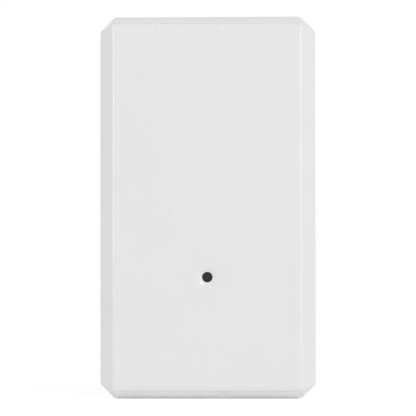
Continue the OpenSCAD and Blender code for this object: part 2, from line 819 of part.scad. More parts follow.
// The profile of one leg, in x and z from the base's side
module leg_profile(reach, rise) {
  foot = 0.6 * reach;
  polygon([
    [0, rise - leg_t], [reach - foot - leg_t, rise - leg_t], [reach - foot - leg_t, 0], [reach, 0],
    [reach, leg_t], [reach - foot, leg_t], [reach - foot, rise], [0, rise]
  ]);
}

module button_legs() {
  color(nickel) upright() for (side = [-1, 1], end = [-1, 1])
    translate([button_x, button_y + end * leg_spacing / 2, board_z])
      mirror([side < 0 ? 1 : 0, 0, 0])
        translate([button_w / 2, 0, 0]) along_y(leg_w) leg_profile(leg_reach, button_h / 3);
}

module button_plunger() {
  stem_h = button_top + plate_t + plunger_rise - flange_z;
  edge_r = plunger_r / 8;
  color("#3A3B3E") upright() translate([button_x, button_y, flange_z]) {
    cylinder(r = flange_r, h = flange_t);
    rotate_extrude() intersection() {
      rounded_outline([
        [-plunger_r, 0], [plunger_r, 0], [plunger_r, stem_h], [-plunger_r, stem_h]
      ], [edge_r, edge_r, edge_r, edge_r]);
      square([plunger_r, stem_h]);
    }
  }
}

// Places its children on the vibration switch's axis
module at_sensor() {
  translate([sensor_x, sensor_y, sensor_z]) children();
}

// A cylinder along y, from one end to the other
module rod(d, from, to) {
  translate([0, to, 0]) rotate([90, 0, 0]) cylinder(d = d, h = to - from);
}

module sensor_tube() {
  color("#2B2C2F") upright() at_sensor() difference() {
    rod(tube_d, -tube_l / 2, tube_l / 2);
    rod(2 * bore_r, -tube_l / 2 - over, tube_l / 2 + over);
  }
}

module sensor_plugs() {
  plug_d = 2 * (bore_r - snug_gap);
  color("#17181A") upright() at_sensor() {
    difference() {
      rod(plug_d, tube_l / 2 - plug_l, tube_l / 2);
      rod(lead_d + 2 * snug_gap, 0, tube_l);
    }
    difference() {
      rod(plug_d, -tube_l / 2, -tube_l / 2 + plug_l);
      rod(post_d + 2 * snug_gap, -tube_l, 0);
    }
  }
}

// A lead that bends down at y = bend and ends below the circuit board
module bent_end(d, bend) {
  drop = sensor_z - board_back_z + lead_tail;
  translate([0, bend, 0]) sphere(d = d);
  translate([0, bend, -drop]) cylinder(d = d, h = drop);
}

module sensor_post() {
  color(gold) upright() at_sensor() {
    rod(post_d, -lead_bend_y, -lead_bend_y + post_l);
    bent_end(post_d, -lead_bend_y);
  }
}

module sensor_lead() {
  color(gold) upright() at_sensor() {
    rod(lead_d, disc_y, lead_bend_y);
    rod(disc_d, disc_y, disc_y + disc_t);
    bent_end(lead_d, lead_bend_y);
  }
}

// The spring: one tube swept along a helix that runs down from its disc
coil_rings = 8;
coil_sides = 6;
ring_count = coil_turns * coil_rings + 1;

function coil_angle(i) = 360 * i / coil_rings;

function coil_centre(i) = [
  coil_d / 2 * cos(coil_angle(i)), coil_start_y - coil_pitch * i / coil_rings,
  coil_d / 2 * sin(coil_angle(i))
];

function coil_ring(i) =
  let (
    out = [cos(coil_angle(i)), 0, sin(coil_angle(i))],
    ahead = unit([-PI * coil_d * out.z, -coil_pitch, PI * coil_d * out.x]),
    side = cross(ahead, out)
  )
  [for (k = [0:coil_sides - 1])
    coil_centre(i) + wire_d / 2 * (out * cos(360 * k / coil_sides) + side * sin(360 * k / coil_sides))];

// The spring's least gap to itself, measured between points at least half a turn apart
coil_self_gap = min([
  for (i = [0:ring_count - 1], j = [i + coil_rings / 2:1:ring_count - 1])
    norm(coil_centre(i) - coil_centre(j))
]) - wire_d;
echo(coil_self_gap = coil_self_gap);

module sensor_spring() {
  last = ring_count - 1;
  points = [for (i = [0:last]) each coil_ring(i)];
  function at(i, k) = i * coil_sides + k % coil_sides;
  walls = [
    for (i = [0:last - 1], k = [0:coil_sides - 1])
      each [[at(i, k), at(i, k + 1), at(i + 1, k + 1)], [at(i, k), at(i + 1, k + 1), at(i + 1, k)]]
  ];
  ends = [
    for (k = [1:coil_sides - 2])
      each [[at(0, 0), at(0, k + 1), at(0, k)], [at(last, 0), at(last, k), at(last, k + 1)]]
  ];
  color("#D8B76A") upright() at_sensor() polyhedron(points, concat(walls, ends));
}

// A moulded block with a draft to its upper half, seen along its length
module buffer_capacitor() {
  draft = buffer_h / 12;
  color("#C98E2C") upright() translate([buffer_x, buffer_y, board_z + strap_t])
    along_x(buffer_l - 2 * strap_t) polygon([
      [-buffer_w / 2 + draft, 0], [buffer_w / 2 - draft, 0], [buffer_w / 2, buffer_h / 2],
      [buffer_w / 2 - draft, buffer_h], [-buffer_w / 2 + draft, buffer_h], [-buffer_w / 2, buffer_h / 2]
    ]);
}

// Straps that leave the ends at mid height and fold under
module buffer_straps() {
  fold = buffer_l / 4;
  color(nickel) upright() for (side = [0, 1])
    translate([buffer_x, buffer_y, board_z]) mirror([side, 0, 0])
      translate([buffer_l / 2, 0, 0]) along_y(strap_w) polygon([
        [-fold, 0], [0, 0], [0, buffer_h / 2], [-strap_t, buffer_h / 2], [-strap_t, strap_t],
        [-fold, strap_t]
      ]);
}

// The small legs' rise, which lifts the regulator off the board
regulator_lift = leg_t / 2;
regulator_x = button_x;

module regulator_chip() {
  color(black_moulding) upright()
    translate([regulator_x, regulator_y, board_z + regulator_lift])
      rounded_plate(regulator_l, regulator_w, regulator_h - regulator_lift, regulator_w / 20);
}

module regulator_legs() {
  pitch = regulator_l / 3;
  reach = part_gap;
  width = pitch / 2.5;
  color(nickel) upright() translate([regulator_x, regulator_y, board_z])
    for (side = [0, 1], i = [-1:1]) if (side == 0 || i != 0)
      mirror([0, side, 0]) translate([i * pitch, regulator_w / 2, 0]) rotate(90)
        along_y(width) leg_profile(reach, regulator_h / 2);
}

module timing_crystal() {
  lid_h = crystal_h / 3;
  color("#D9D6CC") upright() translate([column_x, crystal_y, board_z]) {
    rounded_plate(crystal_w, crystal_l, crystal_h - lid_h, crystal_w / 15);
    translate([0, 0, crystal_h - lid_h - lid_h / 2])
      rounded_plate(0.85 * crystal_w, 0.92 * crystal_l, 1.5 * lid_h, crystal_w / 8);
  }
}

module chip_capacitors() {
  color("#A9825A") upright()
    for (i = [0, 1], j = [0, 1])
      translate([
        led_l / 2 + part_gap + chip_l / 2 + i * (chip_l + part_gap),
        chip_row_y - j * chip_pitch, board_z
      ])
        block(chip_l, chip_w, chip_cap_h);
}

module chip_resistors() {
  color(black_moulding) upright()
    for (i = [0:2])
      translate([column_x, column_y - i * chip_pitch, board_z])
        block(chip_l, chip_w, chip_res_h);
}

module front_cover() {
  ball_r = (dish_d * dish_d / 4 + dish_depth * dish_depth) / (2 * dish_depth);
  keeper_z = cell_top + cover_gap;
  color(case_white) upright() difference() {
    union() {
      difference() {
        intersection() {
          case_form();
          translate([0, 0, seam_z]) block(case_w + 2 * over, case_h + 2 * over, case_d);
        }
        for (side = [-1, 1])
          translate([0, side * (cover_end_y + case_h / 2), 0]) {
            block(2 * (end_wall_x + seam_gap), case_h, front_z + over);
            translate([0, -side * lap_w, 0])
              block(2 * (end_wall_x + seam_gap), case_h, lap_z + rest_gap);
          }
        cover_cavity();
      }
      translate([0, indicator_y, inner_z - socket_h]) cylinder(d = socket_d, h = socket_h + over);
      for (side = [-1, 1])
        translate([side * keeper_spacing / 2, cell_y, keeper_z])
          block(keeper_t, keeper_l, inner_z - keeper_z + over);
    }
    translate([0, indicator_y, inner_z - socket_h - over])
      cylinder(d = pipe_d + 2 * snug_gap, h = socket_h + over);
    translate([0, indicator_y, inner_z - over]) cylinder(d = indicator_d, h = face_t + 2 * over);
    translate([0, indicator_y, front_z + ball_r - dish_depth]) sphere(ball_r);
  }
}

module light_pipe() {
  color("#343235") upright() translate([0, indicator_y, 0]) {
    translate([0, 0, led_top + cover_gap]) cylinder(d = pipe_d, h = inner_z - led_top - cover_gap);
    translate([0, 0, inner_z - over])
      cylinder(d = indicator_d - 2 * snug_gap, h = face_t - tip_recess + over);
  }
}

rear_case();
adhesive_pad();
circuit_board();
board_screws();
battery_holder();
battery_clip();
battery_leaf();
cell_can();
cell_gasket();
cell_cap();
radio_board();
radio_shield();
radio_antenna();
status_led();
led_lens();
button_base();
button_dome();
button_plate();
button_legs();
button_plunger();
sensor_tube();
sensor_plugs();
sensor_post();
sensor_lead();
sensor_spring();
buffer_capacitor();
buffer_straps();
regulator_chip();
regulator_legs();
timing_crystal();
chip_capacitors();
chip_resistors();
front_cover();
light_pipe();
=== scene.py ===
import math

import bmesh
import bpy
import numpy as np
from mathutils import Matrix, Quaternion, Vector


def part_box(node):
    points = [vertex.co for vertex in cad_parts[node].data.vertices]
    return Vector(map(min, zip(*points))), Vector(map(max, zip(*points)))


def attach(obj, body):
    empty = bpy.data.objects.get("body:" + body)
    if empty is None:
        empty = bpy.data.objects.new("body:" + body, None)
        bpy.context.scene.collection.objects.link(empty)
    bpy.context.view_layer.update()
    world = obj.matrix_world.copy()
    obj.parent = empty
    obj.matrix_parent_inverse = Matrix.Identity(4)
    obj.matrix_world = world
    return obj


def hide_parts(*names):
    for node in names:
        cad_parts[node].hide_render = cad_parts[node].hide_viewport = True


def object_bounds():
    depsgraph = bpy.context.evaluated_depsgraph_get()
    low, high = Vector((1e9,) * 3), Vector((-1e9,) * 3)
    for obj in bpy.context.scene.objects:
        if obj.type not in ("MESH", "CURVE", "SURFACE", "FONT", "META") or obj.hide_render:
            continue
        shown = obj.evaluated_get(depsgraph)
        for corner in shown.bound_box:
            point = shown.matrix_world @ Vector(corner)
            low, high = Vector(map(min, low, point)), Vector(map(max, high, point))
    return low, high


# Vibration sensor tag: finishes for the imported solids, a foam pad, a fine coil and the board's small details
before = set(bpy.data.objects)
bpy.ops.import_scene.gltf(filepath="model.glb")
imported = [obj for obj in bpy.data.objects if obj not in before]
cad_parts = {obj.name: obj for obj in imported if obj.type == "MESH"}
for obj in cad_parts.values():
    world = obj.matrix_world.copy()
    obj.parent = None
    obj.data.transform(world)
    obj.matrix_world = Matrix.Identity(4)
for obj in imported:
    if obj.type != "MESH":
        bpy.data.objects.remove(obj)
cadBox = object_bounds()
mm = 0.001
plainWhite = (1, 1, 1, 1)


def towards(azimuth, elevation):
    # unit vector from the tag to a place round it: azimuth 0 is out of the face, and it grows to the right
    az, el = math.radians(azimuth), math.radians(elevation)
    return Vector((math.sin(az) * math.cos(el), -math.cos(az) * math.cos(el), math.sin(el)))


# Camera: long lens almost square on to the face, a little to the right and a little low
cameraSet = {
    "aim": (0.048 * mm, -11.5 * mm, -0.101 * mm),
    "distance": 400 * mm,
    "azimuth": 2.0,
    "elevation": -1.71,
    "roll": -0.072,
    "lens": 207.0,
    "clip": (0.02, 20),
}


def makeCamera(opts):
    data = bpy.data.cameras.new("photoCamera")
    data.lens = opts["lens"]
    data.clip_start, data.clip_end = opts["clip"]
    cam = bpy.data.objects.new("photoCamera", data)
    back = towards(opts["azimuth"], opts["elevation"])
    cam.location = Vector(opts["aim"]) + back * opts["distance"]
    turn = (-back).to_track_quat("-Z", "Y") @ Quaternion((0, 0, 1), math.radians(opts["roll"]))
    cam.rotation_euler = turn.to_euler()
    bpy.context.scene.collection.objects.link(cam)
    bpy.context.scene.camera = cam


makeCamera(cameraSet)
print("camera set")


# Shader helpers

def toLinear(hexText):
    srgb = np.array([int(hexText[i:i + 2], 16) for i in (1, 3, 5)]) / 255
    linear = np.where(srgb <= 0.04045, srgb / 12.92, ((srgb + 0.055) / 1.055) ** 2.4)
    return (*[float(c) for c in linear], 1.0)


def feed(tree, node, inputs):
    # an input is a number or colour, or the socket that feeds it
    for key, value in inputs.items():
        if isinstance(value, bpy.types.NodeSocket):
            tree.links.new(value, node.inputs[key])
        else:
            node.inputs[key].default_value = value


def addNode(tree, kind, inputs=None, **settings):
    # one node with its settings and links
    node = tree.nodes.new(kind)
    for key, value in settings.items():
        setattr(node, key, value)
    feed(tree, node, inputs or {})
    return node


def startMaterial(name):
    made = bpy.data.materials.new(name)
    made.use_nodes = True
    tree = made.node_tree
    tree.nodes.clear()
    shader = addNode(tree, "ShaderNodeBsdfPrincipled")
    addNode(tree, "ShaderNodeOutputMaterial", {"Surface": shader.outputs[0]})
    where = addNode(tree, "ShaderNodeTexCoord").outputs["Object"]
    return made, tree, shader, where


def perMetre(sizeMm):
    # texture scale at which one feature is this many millimetres wide
    return 1 / (sizeMm * mm)


# Materials

# ABS, injection moulded in a fine spark-textured tool: even near-white, satin, with a soft sheen
absSet = {
    "colour": "#EAEAE9", "shade": "#E7E7E7", "driftMm": 9,
    "fleck": "#CDCCC9", "fleckMm": 0.2, "fleckGapMm": 2.0, "fleckRare": 0.6,
    "roughness": 0.3, "roughnessSpread": 0.02, "grainMm": 0.28, "grainBump": 0.01, "grainDeepMm": 0.02,
    "ior": 1.53,
}


def mouldedAbs(opts):
    made, tree, shader, where = startMaterial("mouldedWhiteAbs")
    drift = addNode(tree, "ShaderNodeTexNoise", {
        "Vector": where, "Scale": perMetre(opts["driftMm"]), "Detail": 2.0,
    })
    tint = addNode(tree, "ShaderNodeMix", {
        "Factor": drift.outputs["Fac"], "A": toLinear(opts["colour"]), "B": toLinear(opts["shade"]),
    }, data_type="RGBA")
    # stray flecks of dust and nicks: balls at random points, few of which reach the surface
    cell = addNode(tree, "ShaderNodeTexVoronoi", {"Vector": where, "Scale": perMetre(opts["fleckGapMm"])})
    reach = opts["fleckMm"] / opts["fleckGapMm"] / 2
    near = addNode(tree, "ShaderNodeMath", {0: cell.outputs["Distance"], 1: reach}, operation="LESS_THAN")
    draw = addNode(tree, "ShaderNodeSeparateColor", {"Color": cell.outputs["Color"]})
    rare = addNode(tree, "ShaderNodeMath", {
        0: draw.outputs[0], 1: opts["fleckRare"],
    }, operation="GREATER_THAN")
    fleck = addNode(tree, "ShaderNodeMath", {0: near.outputs[0], 1: rare.outputs[0]}, operation="MULTIPLY")
    colour = addNode(tree, "ShaderNodeMix", {
        "Factor": fleck.outputs[0], "A": tint.outputs["Result"], "B": toLinear(opts["fleck"]),
    }, data_type="RGBA")
    grain = addNode(tree, "ShaderNodeTexNoise", {
        "Vector": where, "Scale": perMetre(opts["grainMm"]), "Detail": 3.0, "Roughness": 0.6,
    })
    gloss = addNode(tree, "ShaderNodeMapRange", {
        "Value": grain.outputs["Fac"], "To Min": opts["roughness"] - opts["roughnessSpread"],
        "To Max": opts["roughness"] + opts["roughnessSpread"],
    })
    bump = addNode(tree, "ShaderNodeBump", {
        "Height": grain.outputs["Fac"], "Strength": opts["grainBump"], "Distance": opts["grainDeepMm"] * mm,
    })
    feed(tree, shader, {
        "Base Color": colour.outputs["Result"], "Roughness": gloss.outputs["Result"],
        "Normal": bump.outputs["Normal"], "IOR": opts["ior"],
    })
    return made


# Metals: plated or rolled sheet and wire; fine drawn streaks give the highlight a soft break-up
metalSet = {  # colour, roughness, size of a streak along x, y and z in mm
    "nickelPlatedSteel": ("#C4C3BF", 0.28, (0.06, 0.5, 0.06)),
    "goldPlatedBronze": ("#D9B26A", 0.25, (0.08, 0.08, 0.4)),
    "tinPlatedSheet": ("#BFC1C2", 0.38, (0.9, 0.05, 0.05)),
    "drawnCellSteel": ("#C9C8C5", 0.3, (1.2, 0.06, 0.06)),
    "machinedScrewSteel": ("#B4B5B6", 0.26, (0.05, 0.4, 0.05)),
    "solderTin": ("#C8C9CB", 0.22, (0.2, 0.2, 0.2)),
}
metalSkin = {
    "stainMm": 2.5, "stainTone": 0.82, "smoother": 0.07, "rougher": 0.1, "bump": 0.1, "deepMm": 0.01,
}


def platedMetal(name, row, skin):
    hexColour, roughness, streakMm = row
    made, tree, shader, where = startMaterial(name)
    stretch = addNode(tree, "ShaderNodeMapping", {
        "Vector": where, "Scale": tuple(perMetre(s) for s in streakMm),
    })
    streak = addNode(tree, "ShaderNodeTexNoise", {
        "Vector": stretch.outputs[0], "Scale": 1.0, "Detail": 2.0,
    })
    stain = addNode(tree, "ShaderNodeTexNoise", {
        "Vector": where, "Scale": perMetre(skin["stainMm"]), "Detail": 3.0,
    })
    base = toLinear(hexColour)
    dull = tuple(c * skin["stainTone"] for c in base[:3]) + (1.0,)
    colour = addNode(tree, "ShaderNodeMix", {
        "Factor": stain.outputs["Fac"], "A": base, "B": dull,
    }, data_type="RGBA")
    gloss = addNode(tree, "ShaderNodeMapRange", {
        "Value": streak.outputs["Fac"], "To Min": roughness - skin["smoother"],
        "To Max": roughness + skin["rougher"],
    })
    bump = addNode(tree, "ShaderNodeBump", {
        "Height": streak.outputs["Fac"], "Strength": skin["bump"], "Distance": skin["deepMm"] * mm,
    })
    feed(tree, shader, {
        "Base Color": colour.outputs["Result"], "Roughness": gloss.outputs["Result"],
        "Normal": bump.outputs["Normal"], "Metallic": 1.0,
    })
    return made


# Moulded and cast plastics of the board parts: a dull skin with a fine grain, or a poured gloss
plasticSet = {  # colour, fleck, roughness, size of the grain in mm, IOR
    "glassFilledNylon": ("#222326", "#3B3C40", 0.55, 0.12, 1.53),
    "nylonPlunger": ("#33353A", "#45474C", 0.48, 0.15, 1.53),
    "mouldedTubePbt": ("#1D1E21", "#2B2C30", 0.42, 0.2, 1.55),
    "pouredEpoxy": ("#0E0E10", "#17171A", 0.2, 0.5, 1.55),
    "chipEpoxy": ("#1A1A1C", "#303033", 0.5, 0.07, 1.55),
    "amberEpoxy": ("#C58A2B", "#B37820", 0.45, 0.12, 1.55),
    "sealPolypropylene": ("#1B1C1E", "#26272A", 0.4, 0.2, 1.49),
    "ledCeramicWhite": ("#EFEDE4", "#E2DFD4", 0.4, 0.1, 1.53),
    "firedTanCeramic": ("#A87E55", "#8F6843", 0.5, 0.06, 1.7),
    "smokedAcrylic": ("#0B0A0C", "#121114", 0.1, 0.6, 1.45),
    "silkInk": ("#E6E6DE", "#D2D2C8", 0.6, 0.1, 1.5),
}
plasticSkin = {"roughnessSpread": 0.06, "bump": 0.2, "deepMm": 0.02}


def mouldedPlastic(name, row, skin):
    hexColour, hexFleck, roughness, grainMm, ior = row
    made, tree, shader, where = startMaterial(name)
    grain = addNode(tree, "ShaderNodeTexNoise", {
        "Vector": where, "Scale": perMetre(grainMm), "Detail": 3.0, "Roughness": 0.65,
    })
    colour = addNode(tree, "ShaderNodeMix", {
        "Factor": grain.outputs["Fac"], "A": toLinear(hexColour), "B": toLinear(hexFleck),
    }, data_type="RGBA")
    gloss = addNode(tree, "ShaderNodeMapRange", {
        "Value": grain.outputs["Fac"], "To Min": roughness - skin["roughnessSpread"],
        "To Max": roughness + skin["roughnessSpread"],
    })
    bump = addNode(tree, "ShaderNodeBump", {
        "Height": grain.outputs["Fac"], "Strength": skin["bump"], "Distance": skin["deepMm"] * mm,
    })
    feed(tree, shader, {
        "Base Color": colour.outputs["Result"], "Roughness": gloss.outputs["Result"],
        "Normal": bump.outputs["Normal"], "IOR": ior,
    })
    return made


# Epoxy glass laminate under screen-printed solder mask: glossy ink, faint weave, raw pale edges
laminateSet = {
    "greenMaskLaminate": {"mask": "#1E5B3B", "deep": "#174A30", "edge": "#A9A46C"},
    "blueMaskLaminate": {"mask": "#1B3350", "deep": "#152843", "edge": "#8F8B66"},
    "maskOverCopper": {"mask": "#34865A", "deep": "#2A7049", "edge": "#2A7049"},
}
laminateSkin = {
    "threadMm": 0.45, "bandScale": 0.16, "waver": 0.6, "clothShare": 0.35, "blotchMm": 3,
    "sideBelow": 0.5, "inkRoughness": 0.28, "edgeRoughness": 0.7, "bump": 0.15, "deepMm": 0.01, "ior": 1.52,
}


def maskedLaminate(name, opts, skin):
    made, tree, shader, where = startMaterial(name)
    # glass cloth shows through the ink: bands across and up the board, multiplied
    weave = addNode(tree, "ShaderNodeMapping", {
        "Vector": where, "Scale": (perMetre(skin["threadMm"]),) * 3,
    })
    threads, picks = [addNode(tree, "ShaderNodeTexWave", {
        "Vector": weave.outputs[0], "Scale": skin["bandScale"], "Distortion": skin["waver"],
    }, bands_direction=way) for way in ("X", "Z")]
    cloth = addNode(tree, "ShaderNodeMath", {
        0: threads.outputs["Fac"], 1: picks.outputs["Fac"],
    }, operation="MULTIPLY")
    blotch = addNode(tree, "ShaderNodeTexNoise", {
        "Vector": where, "Scale": perMetre(skin["blotchMm"]), "Detail": 2.0,
    })
    depth = addNode(tree, "ShaderNodeMath", {
        0: cloth.outputs[0], 1: skin["clothShare"], 2: blotch.outputs["Fac"],
    }, operation="MULTIPLY_ADD", use_clamp=True)
    ink = addNode(tree, "ShaderNodeMix", {
        "Factor": depth.outputs[0], "A": toLinear(opts["mask"]), "B": toLinear(opts["deep"]),
    }, data_type="RGBA")
    # cut edges: where the surface faces sideways, the bare laminate shows
    normal = addNode(tree, "ShaderNodeNewGeometry").outputs["Normal"]
    facing = addNode(tree, "ShaderNodeSeparateXYZ", {"Vector": normal})
    flat = addNode(tree, "ShaderNodeMath", {0: facing.outputs["Y"]}, operation="ABSOLUTE")
    side = addNode(tree, "ShaderNodeMath", {0: flat.outputs[0], 1: skin["sideBelow"]}, operation="LESS_THAN")
    colour = addNode(tree, "ShaderNodeMix", {
        "Factor": side.outputs[0], "A": ink.outputs["Result"], "B": toLinear(opts["edge"]),
    }, data_type="RGBA")
    gloss = addNode(tree, "ShaderNodeMapRange", {
        "Value": side.outputs[0], "To Min": skin["inkRoughness"], "To Max": skin["edgeRoughness"],
    })
    bump = addNode(tree, "ShaderNodeBump", {
        "Height": cloth.outputs[0], "Strength": skin["bump"], "Distance": skin["deepMm"] * mm,
    })
    feed(tree, shader, {
        "Base Color": colour.outputs["Result"], "Roughness": gloss.outputs["Result"],
        "Normal": bump.outputs["Normal"], "IOR": skin["ior"],
    })
    return made


# Acrylic foam tape, extruded and die cut: grey, full of fine closed cells, with a faint tacky sheen
foamSet = {
    "colour": "#8D9093", "poreShade": "#6E7174", "skin": "#A3A6A8", "poreMm": 0.32, "poreReach": 0.55,
    "cloudMm": 2.2, "bump": 0.5, "deepMm": 0.06, "roughness": 0.55, "ior": 1.47,
}


def acrylicFoam(opts):
    made, tree, shader, where = startMaterial("greyAcrylicFoam")
    pores = addNode(tree, "ShaderNodeTexVoronoi", {"Vector": where, "Scale": perMetre(opts["poreMm"])})
    cloud = addNode(tree, "ShaderNodeTexNoise", {
        "Vector": where, "Scale": perMetre(opts["cloudMm"]), "Detail": 4.0,
    })
    body = addNode(tree, "ShaderNodeMix", {
        "Factor": cloud.outputs["Fac"], "A": toLinear(opts["colour"]), "B": toLinear(opts["skin"]),
    }, data_type="RGBA")
    # painted shade: each cell is darkened towards its middle, where the bump sinks it into a hollow
    hole = addNode(tree, "ShaderNodeMapRange", {
        "Value": pores.outputs["Distance"], "From Min": 0.0, "From Max": opts["poreReach"],
        "To Min": 1.0, "To Max": 0.0,
    })
    colour = addNode(tree, "ShaderNodeMix", {
        "Factor": hole.outputs["Result"], "A": body.outputs["Result"], "B": toLinear(opts["poreShade"]),
    }, data_type="RGBA")
    bump = addNode(tree, "ShaderNodeBump", {
        "Height": pores.outputs["Distance"], "Strength": opts["bump"], "Distance": opts["deepMm"] * mm,
    })
    feed(tree, shader, {
        "Base Color": colour.outputs["Result"], "Normal": bump.outputs["Normal"],
        "Roughness": opts["roughness"], "IOR": opts["ior"],
    })
    return made


# Clear silicone resin over a phosphor: pale yellow, wet-looking
resinSet = {"colour": "#E9E3A6", "core": "#E3CF5C", "cloudMm": 0.5, "roughness": 0.12, "ior": 1.5}


def phosphorResin(opts):
    made, tree, shader, where = startMaterial("phosphorResin")
    cloud = addNode(tree, "ShaderNodeTexNoise", {
        "Vector": where, "Scale": perMetre(opts["cloudMm"]), "Detail": 2.0,
    })
    colour = addNode(tree, "ShaderNodeMix", {
        "Factor": cloud.outputs["Fac"], "A": toLinear(opts["colour"]), "B": toLinear(opts["core"]),
    }, data_type="RGBA")
    feed(tree, shader, {
        "Base Color": colour.outputs["Result"], "Roughness": opts["roughness"], "IOR": opts["ior"],
    })
    return made


# Fired ceramic tub of the crystal, dull and pale, under a seam-welded nickel lid that starts at one level
crystalSet = {
    "ceramic": "#CFC9BA", "lid": "#C2C1BC", "lidLevelMm": -5.235, "grainMm": 0.15,
    "ceramicRoughness": 0.42, "lidRoughness": 0.2, "grainRoughness": 0.14,
}


def lidOnCeramic(opts):
    made, tree, shader, where = startMaterial("nickelLidOnCeramic")
    place = addNode(tree, "ShaderNodeSeparateXYZ", {"Vector": where})
    lid = addNode(tree, "ShaderNodeMath", {
        0: place.outputs["Y"], 1: opts["lidLevelMm"] * mm,
    }, operation="LESS_THAN")
    grain = addNode(tree, "ShaderNodeTexNoise", {
        "Vector": where, "Scale": perMetre(opts["grainMm"]), "Detail": 2.0,
    })
    colour = addNode(tree, "ShaderNodeMix", {
        "Factor": lid.outputs[0], "A": toLinear(opts["ceramic"]), "B": toLinear(opts["lid"]),
    }, data_type="RGBA")
    smooth = addNode(tree, "ShaderNodeMapRange", {
        "Value": lid.outputs[0], "To Min": opts["ceramicRoughness"], "To Max": opts["lidRoughness"],
    })
    gloss = addNode(tree, "ShaderNodeMath", {
        0: grain.outputs["Fac"], 1: opts["grainRoughness"], 2: smooth.outputs["Result"],
    }, operation="MULTIPLY_ADD")
    feed(tree, shader, {
        "Base Color": colour.outputs["Result"], "Metallic": lid.outputs[0], "Roughness": gloss.outputs[0],
    })
    return made


finish = {
    "mouldedWhiteAbs": mouldedAbs(absSet), "greyAcrylicFoam": acrylicFoam(foamSet),
    "phosphorResin": phosphorResin(resinSet), "nickelLidOnCeramic": lidOnCeramic(crystalSet),
}
for name, row in metalSet.items():
    finish[name] = platedMetal(name, row, metalSkin)
for name, row in plasticSet.items():
    finish[name] = mouldedPlastic(name, row, plasticSkin)
for name, opts in laminateSet.items():
    finish[name] = maskedLaminate(name, opts, laminateSkin)

nodeFinish = {
    "rear_case": "mouldedWhiteAbs", "front_cover": "mouldedWhiteAbs", "light_pipe": "smokedAcrylic",
    "circuit_board": "greenMaskLaminate", "board_screws": "machinedScrewSteel",
    "battery_holder": "glassFilledNylon", "battery_clip": "nickelPlatedSteel",
    "battery_leaf": "goldPlatedBronze",
    "cell_can": "drawnCellSteel", "cell_gasket": "sealPolypropylene", "cell_cap": "drawnCellSteel",
    "radio_board": "blueMaskLaminate", "radio_shield": "tinPlatedSheet", "radio_antenna": "goldPlatedBronze",
    "status_led": "ledCeramicWhite", "led_lens": "phosphorResin",
    "button_base": "glassFilledNylon", "button_dome": "nickelPlatedSteel", "button_plate": "tinPlatedSheet",
    "button_legs": "nickelPlatedSteel", "button_plunger": "nylonPlunger",
    "sensor_tube": "mouldedTubePbt", "sensor_plugs": "pouredEpoxy", "sensor_post": "goldPlatedBronze",
    "sensor_lead": "goldPlatedBronze",
    "buffer_capacitor": "amberEpoxy", "buffer_straps": "nickelPlatedSteel",
    "regulator_chip": "chipEpoxy", "regulator_legs": "nickelPlatedSteel",
    "timing_crystal": "nickelLidOnCeramic",
    "chip_capacitors": "firedTanCeramic", "chip_resistors": "chipEpoxy",
}
for name, look in nodeFinish.items():
    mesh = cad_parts[name].data
    mesh.materials.clear()
    mesh.materials.append(finish[look])
print("finishes made:", len(finish))


# Mesh helpers

mergeSet = {"doubles": 1e-7, "slivers": 1e-8}  # metres


def gridFaces(items, nu, nv, wrapU=False, wrapV=False):
    # quads between neighbouring points of one or more nu by nv grids stacked one after another
    u = np.arange(nu if wrapU else nu - 1)
    v = np.arange(nv if wrapV else nv - 1)
    a, b = np.meshgrid(u, v, indexing="ij")
    a2, b2 = (a + 1) % nu, (b + 1) % nv
    quads = np.stack([a * nv + b, a2 * nv + b, a2 * nv + b2, a * nv + b2], -1).reshape(-1, 4)
    return (quads[None] + (np.arange(items) * nu * nv)[:, None, None]).reshape(-1, 4)


def capped(grid, along, over):
    # closes a shell: past its first and its last row along one axis comes that row drawn in to its middle
    first, last = [end.mean(over, keepdims=True) + 0 * end for end in
                   (np.take(grid, [0], along), np.take(grid, [-1], along))]
    return np.concatenate([first, grid, last], along)


def joined(*shapes):
    # several arrays of points and faces as one
    points = [np.asarray(p).reshape(-1, 3) for p, f in shapes]
    starts = np.cumsum([0] + [len(p) for p in points[:-1]])
    return np.concatenate(points), np.concatenate([f + k for (p, f), k in zip(shapes, starts)])


def finishPiece(name, points, faces, look, body, slotName, sharpDegrees):
    # puts the arrays into a mesh, closes seams and poles, turns faces outwards and rides it on its body
    mesh = bpy.data.meshes.new(name)
    mesh.from_pydata(np.asarray(points).reshape(-1, 3).tolist(), [], np.asarray(faces).tolist())
    work = bmesh.new()
    work.from_mesh(mesh)
    bmesh.ops.remove_doubles(work, verts=work.verts, dist=mergeSet["doubles"])
    bmesh.ops.dissolve_degenerate(work, edges=work.edges, dist=mergeSet["slivers"])
    bmesh.ops.recalc_face_normals(work, faces=work.faces)
    work.to_mesh(mesh)
    work.free()
    mesh.shade_smooth()
    mesh.set_sharp_from_angle(angle=math.radians(sharpDegrees))
    mesh.materials.append(finish[look])
    piece = bpy.data.objects.new(name, mesh)
    bpy.context.scene.collection.objects.link(piece)
    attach(piece, body)
    return piece


def cadBoxOf(node, unit=1.0):
    lo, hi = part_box(node)
    return np.array(lo) / unit, np.array(hi) / unit


# Foam pad: the die-cut octagon of the solid, its edge swelling out a little between its two faces
foamPad = {
    "cut": 1.46, "cornerR": 0.4, "cornerSteps": 6, "edgeSwell": 0.12, "edgeSteps": 9, "faceShare": 0.97,
}


